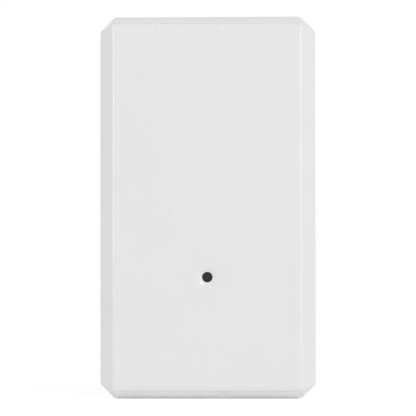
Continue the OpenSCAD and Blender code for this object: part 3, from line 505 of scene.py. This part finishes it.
def makeFoamPad(opts):
    lo, hi = cadBoxOf("adhesive_pad")
    swell = opts["edgeSwell"] * mm
    w, h = hi[0] - swell, hi[2] - swell
    cut, r = opts["cut"] * mm, opts["cornerR"] * mm
    corners = np.array([(w, h - cut), (w - cut, h), (cut - w, h), (-w, h - cut)])
    corners = np.concatenate([corners, -corners])
    # each corner is an arc: its centre lies inside on the bisector, its points sweep 45 degrees
    halfSweep = 22.5
    before, after = np.roll(corners, 1, 0) - corners, np.roll(corners, -1, 0) - corners
    before /= np.linalg.norm(before, axis=1)[:, None]
    after /= np.linalg.norm(after, axis=1)[:, None]
    bisect = before + after
    bisect /= np.linalg.norm(bisect, axis=1)[:, None]
    centre = corners + bisect * (r / math.cos(math.radians(halfSweep)))
    mid = np.arctan2(-bisect[:, 1], -bisect[:, 0])
    turn = np.radians(np.linspace(-halfSweep, halfSweep, opts["cornerSteps"]))
    angle = mid[:, None] + turn[None]
    # the outline runs anticlockwise, and straight edges join its arcs
    around = np.stack([np.cos(angle), np.sin(angle)], -1)
    outline, normal = (centre[:, None] + r * around).reshape(-1, 2), around.reshape(-1, 2)
    # section of the edge: depth t from face to face, swelling as 1 - (2t - 1)^2, faces drawn in to the centre
    t = np.linspace(0, 1, opts["edgeSteps"])
    bulge = swell * (1 - (2 * t - 1) ** 2)
    y = lo[1] + (hi[1] - lo[1]) * t
    ring = outline[None] + bulge[:, None, None] * normal[None]
    side = np.stack([ring[..., 0], np.broadcast_to(y[:, None], ring.shape[:2]), ring[..., 1]], -1)
    shrink = np.array([0.0, opts["faceShare"]])[:, None, None]
    front = side[:1] * [1, 0, 1] * shrink + [0, lo[1], 0]
    back = side[-1:] * [1, 0, 1] * shrink[::-1] + [0, hi[1], 0]
    points = np.concatenate([front, side, back])
    faces = gridFaces(1, points.shape[0], points.shape[1], wrapV=True)
    pad = finishPiece("foamPad", points, faces, "greyAcrylicFoam", "base", "foam_tape", sharpDegrees=50)
    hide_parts("adhesive_pad")


makeFoamPad(foamPad)
print("foam pad made")


# Switch coil: round wire on a helix about the switch's axis, closed by domed ends
switchCoil = {
    "coilD": 2.1, "wireD": 0.2, "turns": 11, "pitch": 0.65, "stepsPerTurn": 40, "sides": 12, "dome": 0.5,
}


def makeSwitchCoil(opts):
    lo, hi = cadBoxOf("sensor_spring")
    axis = (lo + hi) / 2
    startZ = hi[2] - opts["wireD"] / 2 * mm
    radius, wireR = opts["coilD"] / 2 * mm, opts["wireD"] / 2 * mm
    steps = opts["turns"] * opts["stepsPerTurn"]
    s = np.arange(steps + 1) / opts["stepsPerTurn"]
    a = 2 * math.pi * s
    # the path goes round once and down one pitch for each unit of s
    out = np.stack([np.cos(a), -np.sin(a), np.zeros_like(a)], -1)
    down = np.stack([0 * s, 0 * s, startZ - opts["pitch"] * mm * s], -1)
    path = axis * [1, 1, 0] + out * radius + down
    ahead = np.gradient(path, axis=0)
    ahead /= np.linalg.norm(ahead, axis=1)[:, None]
    side = np.cross(ahead, out)
    # the wire is a ring in the plane of out and side at each point of the path
    b = 2 * math.pi * np.arange(opts["sides"]) / opts["sides"]
    ring = out[:, None] * np.cos(b)[None, :, None] + side[:, None] * np.sin(b)[None, :, None]
    body = path[:, None] + wireR * ring
    # ends: the ring draws in to a point over a dome, a share of the wire's radius deep
    q, dome = np.radians([90, 60, 30])[:, None, None], opts["dome"]
    head = path[:1, None] + wireR * (ring[:1] * np.cos(q) - dome * ahead[:1, None] * np.sin(q))
    q = q[::-1]
    tail = path[-1:, None] + wireR * (ring[-1:] * np.cos(q) + dome * ahead[-1:, None] * np.sin(q))
    points = np.concatenate([head, body, tail])
    faces = gridFaces(1, points.shape[0], points.shape[1], wrapV=True)
    coil = finishPiece("switchCoil", points, faces, "goldPlatedBronze", "spring", "spring_wire",
                       sharpDegrees=60)
    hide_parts("sensor_spring")


makeSwitchCoil(switchCoil)
print("switch coil made")


# Shapes that the board's details share

shapeSet = {
    "stripShoulder": 0.86,  # share of a strip's half width at which its flat top ends
    "solderUnder": 0.15,  # share of a fillet's reach that runs in under the part
    "solderEnd": 0.35,  # share of a fillet's climb that is left at its ends
    "solderSteps": (6, 9),  # points up a fillet's hollow and along its wall
}


def pathRibbons(paths, widths, rise, level):
    # a flat strip carried along each path of (x, z) points in mm: at a bend its edges meet on the bisector,
    # offset by half the width times (n1 + n2) / (1 + n1.n2), and a point closes each end
    shoulder = shapeSet["stripShoulder"]
    strips = []
    for path, width in zip(paths, widths):
        line = np.array(path, float) * mm
        ahead = np.diff(line, axis=0)
        ahead /= np.linalg.norm(ahead, axis=1)[:, None]
        normal = np.stack([-ahead[:, 1], ahead[:, 0]], -1)
        before, after = np.concatenate([normal[:1], normal]), np.concatenate([normal, normal[-1:]])
        mitre = (before + after) / (1 + (before * after).sum(1))[:, None] * width * mm / 2
        across = np.array([-1, -shoulder, shoulder, 1])[None, :, None]
        depth = level - np.array([0, rise, rise, 0]) * mm
        flat = line[:, None] + across * mitre[:, None]
        strip = np.stack([flat[..., 0], np.broadcast_to(depth, flat.shape[:2]), flat[..., 1]], -1)
        strip = capped(strip, along=0, over=1)
        strips.append((strip, gridFaces(1, len(strip), strip.shape[1], wrapV=True)))
    return joined(*strips)


def plusBars(place, arm, joint):
    # paths of a plus sign: one bar across, and two that meet its sides
    x, z = place
    return [[(x - arm, z), (x + arm, z)], [(x, z - arm), (x, z - joint)], [(x, z + joint), (x, z + arm)]]


def turnedShapes(places, profile, level, sides=20):
    # a profile of (radius, height) in mm turned once about the axis that stands on each (x, z) place in mm
    place = np.array(places, float) * mm
    radius, height = np.array(profile, float).T * mm
    a = 2 * math.pi * np.arange(sides) / sides
    x = place[:, 0, None, None] + radius[None, :, None] * np.cos(a)
    z = place[:, 1, None, None] + radius[None, :, None] * np.sin(a)
    y = np.broadcast_to(level - height[None, :, None], x.shape)
    return np.stack([x, y, z], -1), gridFaces(len(place), len(radius), sides, wrapV=True)


def softBlocks(centres, sizes, rounding, steps=5):
    # blocks with rounded edges: a ball of the rounding's radius, pulled apart along each axis to the block's
    # size; u runs from pole to pole and v round it, each with its quarter turns in steps
    centre, half = np.array(centres, float) * mm, np.array(sizes, float) * mm / 2
    quarter = np.linspace(0, math.pi / 2, steps)
    v = np.concatenate([quarter + k * math.pi / 2 for k in range(4)])
    u = np.concatenate([quarter - math.pi / 2, quarter])[:, None]
    side = np.repeat(np.array([[1, 1], [-1, 1], [-1, -1], [1, -1]]), steps, 0)
    end = np.repeat([-1, 1], steps)[:, None]
    r = rounding * mm
    core = half - r
    ball = np.stack(np.broadcast_arrays(np.cos(u) * np.cos(v), np.cos(u) * np.sin(v), np.sin(u)), -1)
    pull = np.stack(np.broadcast_arrays(side[:, 0], side[:, 1], end), -1)
    shell = capped(r * ball + core[:, None, None] * pull, along=1, over=2)
    return centre[:, None, None] + shell, gridFaces(len(centre), shell.shape[1], len(v), wrapV=True)


def solderFillets(feet, level):
    # each foot is (x, z, way, width, reach, climb) in mm and degrees: solder leans from the board up a wall
    # that faces that way; its section is a hollow quarter ellipse, and its ends draw in as the square root
    # of 1 - |w|^3, with w from -1 to 1 along the wall
    foot = np.array([f[:2] for f in feet], float) * mm
    turn = np.radians([f[2] for f in feet])
    width, reach, climb = (np.array([f[3:] for f in feet], float).T * mm)[:, :, None, None]
    under, low = shapeSet["solderUnder"], shapeSet["solderEnd"]
    upSteps, alongSteps = shapeSet["solderSteps"]
    t = np.linspace(0, math.pi / 2, upSteps)
    out = np.concatenate([1 - np.sin(t), [-under, -under]])
    up = np.concatenate([1 - np.cos(t), [1, 0]])
    w = np.linspace(-1, 1, alongSteps)[:, None]
    swell = np.sqrt(np.clip(1 - np.abs(w) ** 3, 0, 1))
    o = reach * (np.where(out > 0, out, 0) * swell + np.where(out > 0, 0, out))
    h = climb * up * (low + (1 - low) * swell)
    across = width / 2 * w * (1 + 0 * up)
    side, ahead = np.stack([-np.sin(turn), np.cos(turn)], -1), np.stack([np.cos(turn), np.sin(turn)], -1)
    flat = foot[:, None, None] + o[..., None] * ahead[:, None, None] + across[..., None] * side[:, None, None]
    solid = capped(np.stack([flat[..., 0], level - h, flat[..., 1]], -1), along=1, over=2)
    return solid, gridFaces(len(foot), solid.shape[1], solid.shape[2], wrapV=True)


boardFace = cadBoxOf("circuit_board")[0][1]
radioLow, radioHigh = cadBoxOf("radio_board")

# Half holes down both sides of the radio module, from the lowest up
holeRow = {"count": 11, "pitch": 1.27, "firstZ": -19.05}
holeLevels = holeRow["firstZ"] + holeRow["pitch"] * np.arange(holeRow["count"])

# Copper under the mask: tracks between the parts, in mm across and up the board
boardTracks = {
    "rise": 0.04,
    "holeStart": -2.9,  # straight tracks from half holes of the module, each to its own end
    "holeEnds": {9: 2.1, 8: 2.1, 6: -2.2, 4: -1.3, 3: -1.3, 2: -1.3, 1: -1.2, 0: -1.2},
    "signal": [
        [(1.9, -11.66), (2.3, -12.06), (2.3, -13.56), (1.9, -13.96), (0.6, -13.96)],
        [(0.6, -15.26), (3.1, -15.26), (4.6, -13.76), (7.0, -13.76), (8.8, -11.96),
         (8.8, -10.41), (10.0, -9.21), (11.2, -9.21)],
        [(0.6, -16.56), (0.9, -16.56), (1.3, -16.96), (1.3, -17.85)],
        [(3.6, -12.1), (3.6, -11.2), (4.1, -10.7), (6.6, -10.7), (7.3, -10.0),
         (7.3, -9.19), (7.1, -8.99), (6.1, -8.99)],
        [(3.6, -12.1), (5.8, -12.1), (6.6, -12.9)],
        [(11.5, -23.01), (10.5, -23.01), (9.15, -24.36), (7.1, -24.36), (6.91, -24.55), (6.1, -24.55)],
        [(0.8, -22.66), (0.2, -22.66), (-0.6, -23.46), (-0.6, -26.4), (0.4, -27.4), (4.03, -27.4)],
        [(4.03, -24.45), (3.45, -24.45), (3.0, -24.9), (1.0, -24.9)],
    ],
    "signalWidth": 0.3,
    "power": [
        [(3.3, 24.55), (4.6, 24.55), (6.05, 26.0), (8.8, 26.0), (10.0, 27.2), (13.2, 27.2), (14.1, 26.3),
         (14.1, -4.0), (13.4, -4.7), (8.0, -4.7), (7.31, -5.39), (5.9, -5.39)],
        [(-7.6, 25.0), (-7.6, 25.9), (-9.4, 27.7), (-13.3, 27.7), (-14.1, 26.9),
         (-14.1, -4.2), (-13.8, -4.5), (-3.4, -4.5), (-2.45, -5.45), (-2.45, -6.055)],
        [(2.1, -5.39), (0.4, -5.39), (-0.56, -6.35), (-2.9, -6.35)],
        [(6.05, -27.4), (7.2, -27.4), (8.4, -26.2), (9.2, -26.2)],
    ],
    "powerWidth": 0.65,
}


def makeBoardTracks(opts):
    # strips along all the paths, narrow for signals and wide for power
    signal = [[(opts["holeStart"], holeLevels[hole]), (end, holeLevels[hole])]
              for hole, end in opts["holeEnds"].items()] + opts["signal"]
    widths = [opts["signalWidth"]] * len(signal) + [opts["powerWidth"]] * len(opts["power"])
    strips = pathRibbons(signal + opts["power"], widths, opts["rise"], boardFace)
    finishPiece("boardTracks", *strips, "maskOverCopper", "base", "board_laminate", sharpDegrees=30)


makeBoardTracks(boardTracks)

# Plated holes and round pads: a ring about 0.8 mm across, its hole filled up to a dimple above the tracks
platedHoles = {
    "places": [
        (3.6, -12.1), (6.6, -12.9), (-0.6, -25.2), (1.0, -24.9), (9.2, -26.2), (6.9, -7.8), (9.25, -16.4),
        (-2.3, -21.6), (-2.3, -22.9), (2.6, -14.4), (7.6, -15.6), (8.4, 25.0), (-7.6, 25.0), (-5.4, -26.4),
    ],
    "ring": [(0, 0.045), (0.13, 0.045), (0.17, 0.08), (0.36, 0.08), (0.42, 0.0), (0.42, -0.02), (0, -0.02)],
    "testPlaces": [(-8.6, -26.3), (-6.9, -26.3), (-3.7, -26.3), (-2.0, -26.3), (2.0, 26.3), (-2.0, 26.3)],
    "testPad": [(0, 0.04), (0.5, 0.04), (0.58, 0.0), (0.58, -0.02), (0, -0.02)],
}


def makePlatedHoles(opts):
    # two profiles of (radius, height), each turned about its own places
    shape = joined(turnedShapes(opts["places"], opts["ring"], boardFace),
                   turnedShapes(opts["testPlaces"], opts["testPad"], boardFace))
    finishPiece("platedHoles", *shape, "goldPlatedBronze", "base", "contact_gold", sharpDegrees=30)


makePlatedHoles(platedHoles)

# White print round the parts: plain outlines, a bar at the polar end of parts, a plus by the cell's clip
boardPrint = {
    "rise": 0.055, "width": 0.16,
    "lines": [
        [(-13.6, 20.4), (-13.6, 23.56), (-4.2, 23.56)], [(13.6, 20.4), (13.6, 23.56), (4.2, 23.56)],
        [(-13.6, -0.6), (-13.6, -3.64), (-6.8, -3.64)], [(13.6, -0.6), (13.6, -3.64), (6.8, -3.64)],
        [(1.6, -16.91), (8.4, -16.91)], [(1.6, -23.91), (8.4, -23.91)],
        [(-1.7, -9.95), (1.7, -9.95)], [(-1.7, -13.32), (1.7, -13.32)], [(2.5, -10.2), (2.5, -11.3)],
        [(1.9, -3.76), (6.1, -3.76), (6.1, -4.7)], [(1.9, -7.02), (6.1, -7.02), (6.1, -6.1)],
        [(1.6, -4.1), (1.6, -6.7)],
        [(9.3, -9.4), (9.3, -8.2), (14.4, -8.2), (14.4, -23.6)], [(9.3, -21.1), (9.3, -22.1)],
        [(3.2, -25.1), (3.2, -26.9)], [(6.8, -25.1), (6.8, -26.9)],
        [(-14.4, -24.4), (-12.9, -24.4)], [(-4.9, -24.4), (-3.3, -24.4), (-3.3, -22.9)],
    ],
    "plus": {"place": (7.0, 24.6), "arm": 0.7, "joint": 0.08},
    "ringPlaces": [(-11.85, 25.51), (11.85, -25.51)],
    "ring": [(1.7, 0.0), (1.7, 0.055), (1.84, 0.055), (1.84, 0.0), (1.77, -0.02), (1.7, 0.0)],
    "ringSides": 48,
}


def makeBoardPrint(opts):
    # strips along the lines, and a ring turned about each screw
    lines = opts["lines"] + plusBars(**opts["plus"])
    strips = pathRibbons(lines, [opts["width"]] * len(lines), opts["rise"], boardFace)
    rings = turnedShapes(opts["ringPlaces"], opts["ring"], boardFace, opts["ringSides"])
    finishPiece("boardPrint", *joined(strips, rings), "silkInk", "base", "led_white", sharpDegrees=30)


makeBoardPrint(boardPrint)

# Fired metal ends on the chip parts, each wrapped over a bit more than the last third of a millimetre
chipEnds = {"long": 1.6, "wide": 0.8, "cap": 0.36, "skin": 0.03, "rounding": 0.09}


def chipPlaces(node, columns, rows, opts):
    # x, z and height of each chip: columns and rows of them fill the node's box, top row first
    lo, hi = cadBoxOf(node, mm)
    endX, endZ = opts["long"] / 2, opts["wide"] / 2
    places = np.meshgrid(np.linspace(lo[0] + endX, hi[0] - endX, columns),
                         np.linspace(hi[2] - endZ, lo[2] + endZ, rows))
    return np.stack([*places, np.full((rows, columns), hi[1] - lo[1])], -1).reshape(-1, 3)


chips = np.concatenate([
    chipPlaces("chip_capacitors", 2, 2, chipEnds), chipPlaces("chip_resistors", 1, 3, chipEnds),
])


def makeChipEnds(opts):
    # a soft block at both ends of each chip, a skin's thickness larger than the chip all round
    x, z, high = np.repeat(chips, 2, 0).T
    way = np.tile([-1.0, 1.0], len(chips))
    skin, cap = opts["skin"], opts["cap"]
    x = x + way * (opts["long"] / 2 + skin - (cap + skin) / 2)
    centres = np.stack([x, boardFace / mm - (high + skin) / 2, z], -1)
    sizes = np.stack([0 * x + cap + skin, high + skin, 0 * x + opts["wide"] + 2 * skin], -1)
    blocks = softBlocks(centres, sizes, opts["rounding"])
    finishPiece("chipEnds", *blocks, "tinPlatedSheet", "base", "shield_tin", sharpDegrees=40)


makeChipEnds(chipEnds)

# Metal feet of the status light: a folded tab at each end of its package
lightFeet = {"tab": 0.5, "skin": 0.04, "wide": 1.6, "high": 0.75, "rounding": 0.08}


def makeLightFeet(opts):
    # a soft block over each end, standing out by the skin's thickness
    lo, hi = cadBoxOf("status_led", mm)
    mid = (lo + hi) / 2
    way = np.array([-1.0, 1.0])
    half = (hi[0] - lo[0]) / 2
    centres = np.stack([mid[0] + way * (half + opts["skin"] - opts["tab"] / 2),
                        0 * way + boardFace / mm - opts["high"] / 2, 0 * way + mid[2]], -1)
    sizes = np.tile([opts["tab"], opts["high"], opts["wide"]], (2, 1))
    blocks = softBlocks(centres, sizes, opts["rounding"])
    finishPiece("lightFeet", *blocks, "nickelPlatedSteel", "base", "contact_nickel", sharpDegrees=40)


makeLightFeet(lightFeet)

# Solder: a hollow fillet at each foot, and a cone round each of the switch's two wires
chipSolder = {"width": 0.78, "reach": 0.42, "climbShare": 0.7}
legPitch = 0.9667  # between the regulator's legs
footSolder = [  # node, ways its sides face, (width, reach, climb), places along a side, gap to the node
    ("status_led", (180, 0), (1.7, 0.5, 0.6), (0,), lightFeet["skin"]),
    ("buffer_straps", (180, 0), (2.2, 0.45, 0.7), (0,), 0),
    ("button_legs", (180, 0), (0.8, 0.4, 0.18), (-2.25, 2.25), 0),
    ("regulator_legs", (270,), (0.42, 0.28, 0.17), (-legPitch, legPitch), 0),
    ("regulator_legs", (90,), (0.42, 0.28, 0.17), (-legPitch, 0, legPitch), 0),
    ("timing_crystal", (90, 270), (1.3, 0.2, 0.3), (0,), 0),
    ("battery_clip", (90,), (7.0, 0.6, 0.22), (0,), 0),
]
wireSolder = {
    "sides": 28,
    "post": (11.9, -23.01),
    "postCone": [(0, 0.8), (0.41, 0.75), (0.45, 0.45), (0.51, 0.18), (0.6, 0.05), (0.62, 0.0), (0.62, -0.02),
                 (0, -0.02)],
    "lead": (11.9, -9.21),
    "leadCone": [(0, 0.7), (0.27, 0.66), (0.34, 0.4), (0.52, 0.16), (0.8, 0.05), (0.85, 0.0), (0.85, -0.02),
                 (0, -0.02)],
}


def sideFeet(node, ways, size, along, gap):
    # feet at the sides of a node's box: 0 is its right side, 90 its top, 180 its left and 270 its bottom,
    # and places along a side count from its middle
    lo, hi = cadBoxOf(node, mm)
    middle, half = (lo + hi) / 2, (hi - lo) / 2 + gap
    feet = []
    for way in ways:
        right, up = round(math.cos(math.radians(way))), round(math.sin(math.radians(way)))
        x, z = middle[0] + right * half[0], middle[2] + up * half[2]
        feet += [(x + abs(up) * a, z + abs(right) * a, way, *size) for a in along]
    return feet


def makeSolder(chipOpts, footRows, wires):
    # a fillet at both ends of each chip and at each foot, then each cone's profile turned about its wire
    out = chipEnds["long"] / 2 + chipEnds["skin"]
    feet = [(x + w * out, z, 90 - 90 * w, chipOpts["width"], chipOpts["reach"], chipOpts["climbShare"] * high)
            for x, z, high in chips for w in (-1, 1)]
    feet += [foot for row in footRows for foot in sideFeet(*row)]
    cones = [turnedShapes([wires[name]], wires[name + "Cone"], boardFace, wires["sides"])
             for name in ("post", "lead")]
    shape = joined(solderFillets(feet, boardFace), *cones)
    finishPiece("boardSolder", *shape, "solderTin", "base", "shield_tin", sharpDegrees=50)


makeSolder(chipSolder, footSolder, wireSolder)

# Plating of the half holes: a pad round each on the module's face, and solder that runs down into it
halfHoles = {
    "holeR": 0.35, "pad": 0.22,
    "foot": (0.12, 0.45),  # how far the solder's foot reaches on the left, where the board ends, and right
    "solderHigh": [0.66, 0.62, 0.4, 0.2, 0.06, 0.0, -0.02, -0.02],
    "solderCore": [0.0, 0.85, 0.9, 0.93, 0.95, 0.95, 0.95, 0.0],  # share of the hole's radius
    "solderSpread": [0.0, 0.0, 0.18, 0.49, 0.89, 1.0, 1.0, 0.0],  # share of the foot's reach
    "solderSides": 20,
    "padLift": [-0.01, 0.03, 0.03, -0.01],
    "padSteps": 13,
}


def makeHalfHoles(opts):
    count = len(holeLevels)
    z = np.tile(holeLevels, 2)[:, None, None]
    edge = np.repeat([radioLow[0] / mm, radioHigh[0] / mm], count)[:, None, None]
    way = np.repeat([-1.0, 1.0], count)[:, None, None]
    r = opts["holeR"]
    # solder: round at the hole, with a foot that grows towards the board on the side away from the module
    a = np.linspace(0, 2 * math.pi, opts["solderSides"], endpoint=False)
    outward = np.clip(np.cos(a), 0, 1)
    core = np.array(opts["solderCore"])[:, None] * r
    spread = np.array(opts["solderSpread"])[:, None] * outward
    radius = core + np.repeat(opts["foot"], count)[:, None, None] * spread
    x = edge + way * radius * np.cos(a)
    y = boardFace / mm - np.array(opts["solderHigh"])[:, None] + 0 * x
    solder = np.stack([x, y, z + radius * np.sin(a)], -1) * mm
    faces = gridFaces(len(z), solder.shape[1], len(a), wrapV=True)
    finishPiece("moduleSolder", solder, faces, "solderTin", "base", "shield_tin", sharpDegrees=50)
    # pads: half rings round each hole, flat on the module's face
    b = np.linspace(-math.pi / 2, math.pi / 2, opts["padSteps"])
    ring = np.array([r, r, r + opts["pad"], r + opts["pad"]])[:, None]
    x = edge - way * ring * np.cos(b)
    y = radioLow[1] / mm - np.array(opts["padLift"])[:, None] + 0 * x
    pads = capped(np.stack([x, y, z + ring * np.sin(b)], -1), along=2, over=1) * mm
    faces = gridFaces(len(z), len(ring), pads.shape[2], wrapU=True)
    finishPiece("modulePads", pads, faces, "goldPlatedBronze", "base", "contact_gold", sharpDegrees=30)


makeHalfHoles(halfHoles)

# A plus stamped in the cell's face, raised a little
cellMark = {"rise": 0.05, "width": 0.7, "plus": {"place": (0, 15.6), "arm": 1.7, "joint": 0.3}}


def makeCellMark(opts):
    # strips along the bars of the plus, on the can's flat face
    bars = plusBars(**opts["plus"])
    face = cadBoxOf("cell_can")[0][1]
    strips = pathRibbons(bars, [opts["width"]] * len(bars), opts["rise"], face)
    finishPiece("cellMark", *strips, "drawnCellSteel", "base", "cell_steel", sharpDegrees=30)


makeCellMark(cellMark)
print("board details made")


def seenRays(tree):
    # 1 for rays that reach the eye straight, by gloss or through something clear, and 0 for the rest
    rays = addNode(tree, "ShaderNodeLightPath").outputs
    direct = addNode(tree, "ShaderNodeMath", {
        0: rays["Is Camera Ray"], 1: rays["Is Glossy Ray"],
    }, operation="MAXIMUM")
    return addNode(tree, "ShaderNodeMath", {
        0: direct.outputs[0], 1: rays["Is Transmission Ray"],
    }, operation="MAXIMUM").outputs[0]


# Stage: a pale floor that stays white to the eye and keeps the shadow
stageSet = {"floorColour": "#FAFAFA", "floorSize": 6.0, "below": 0.02, "seenColour": "#B4B4B4", "lift": 0.69}


def makeStage(opts):
    size = opts["floorSize"]
    z = cadBox[0].z - opts["below"] * mm
    mesh = bpy.data.meshes.new("studioFloor")
    corners = [(-size, -size, z), (size, -size, z), (size, size, z), (-size, size, z)]
    mesh.from_pydata(corners, [], [(0, 1, 2, 3)])
    floor = bpy.data.objects.new("studioFloor", mesh)
    bpy.context.scene.collection.objects.link(floor)
    made = bpy.data.materials.new("matFloorPaint")
    made.use_nodes = True
    tree = made.node_tree
    tree.nodes.clear()
    paint = addNode(tree, "ShaderNodeBsdfDiffuse", {"Color": toLinear(opts["floorColour"])})
    # to the eye the lit floor is just white: part glow, part paint that takes the shadow
    shaded = addNode(tree, "ShaderNodeBsdfDiffuse", {"Color": toLinear(opts["seenColour"])})
    glow = addNode(tree, "ShaderNodeEmission", {"Color": plainWhite, "Strength": opts["lift"]})
    pale = addNode(tree, "ShaderNodeAddShader", {0: shaded.outputs[0], 1: glow.outputs[0]})
    both = addNode(tree, "ShaderNodeMixShader", {0: seenRays(tree), 1: paint.outputs[0], 2: pale.outputs[0]})
    addNode(tree, "ShaderNodeOutputMaterial", {"Surface": both.outputs[0]})
    mesh.materials.append(made)


makeStage(stageSet)

# Light: a bright cloth tent, one soft lamp to the right of the camera, two that only glint on the long edges
# and two small high ones that only glint in the dish
tentSet = {"walls": 1.32, "roof": 0.37, "backdrop": 1.0, "lampDistance": 0.9}
lampSet = {  # azimuth, elevation, size, power, lights matt surfaces, shows in gloss
    "softKey": (29, 12, 0.8, 1.92, True, False),  # not mirrored, so flat sides stay even
    "leftGlint": (-70, 7, 0.42, 2.9, False, True),
    "rightGlint": (64, 4, 0.42, 2.0, False, True),
    "highRightGlint": (39, 36, 0.2, 1.5, False, True),
    "highLeftGlint": (-33, 48, 0.3, 0.7, False, True),
}


def makeLight(tent, lamps):
    world = bpy.data.worlds.new("lightTent")
    world.use_nodes = True
    tree = world.node_tree
    tree.nodes.clear()
    # the cloth is brightest at the walls and dims towards the roof
    sky = addNode(tree, "ShaderNodeTexCoord").outputs["Generated"]
    way = addNode(tree, "ShaderNodeSeparateXYZ", {"Vector": sky})
    level = addNode(tree, "ShaderNodeMapRange", {
        "Value": way.outputs["Z"], "To Min": tent["walls"], "To Max": tent["roof"],
    })
    cloth = addNode(tree, "ShaderNodeBackground", {"Color": plainWhite, "Strength": level.outputs["Result"]})
    backdrop = addNode(tree, "ShaderNodeBackground", {"Color": plainWhite, "Strength": tent["backdrop"]})
    both = addNode(tree, "ShaderNodeMixShader", {
        0: seenRays(tree), 1: cloth.outputs[0], 2: backdrop.outputs[0],
    })
    addNode(tree, "ShaderNodeOutputWorld", {"Surface": both.outputs[0]})
    bpy.context.scene.world = world
    for lampName, (azimuth, elevation, size, power, matt, gloss) in lamps.items():
        data = bpy.data.lights.new(lampName, "AREA")
        data.shape = "DISK"
        data.size = size
        data.energy = power
        lamp = bpy.data.objects.new(lampName, data)
        back = towards(azimuth, elevation)
        lamp.location = back * tent["lampDistance"]
        lamp.rotation_euler = (-back).to_track_quat("-Z", "Y").to_euler()
        lamp.visible_diffuse, lamp.visible_glossy = matt, gloss
        bpy.context.scene.collection.objects.link(lamp)


makeLight(tentSet, lampSet)
bpy.context.scene.view_settings.view_transform = "Standard"
print("stage and light set")
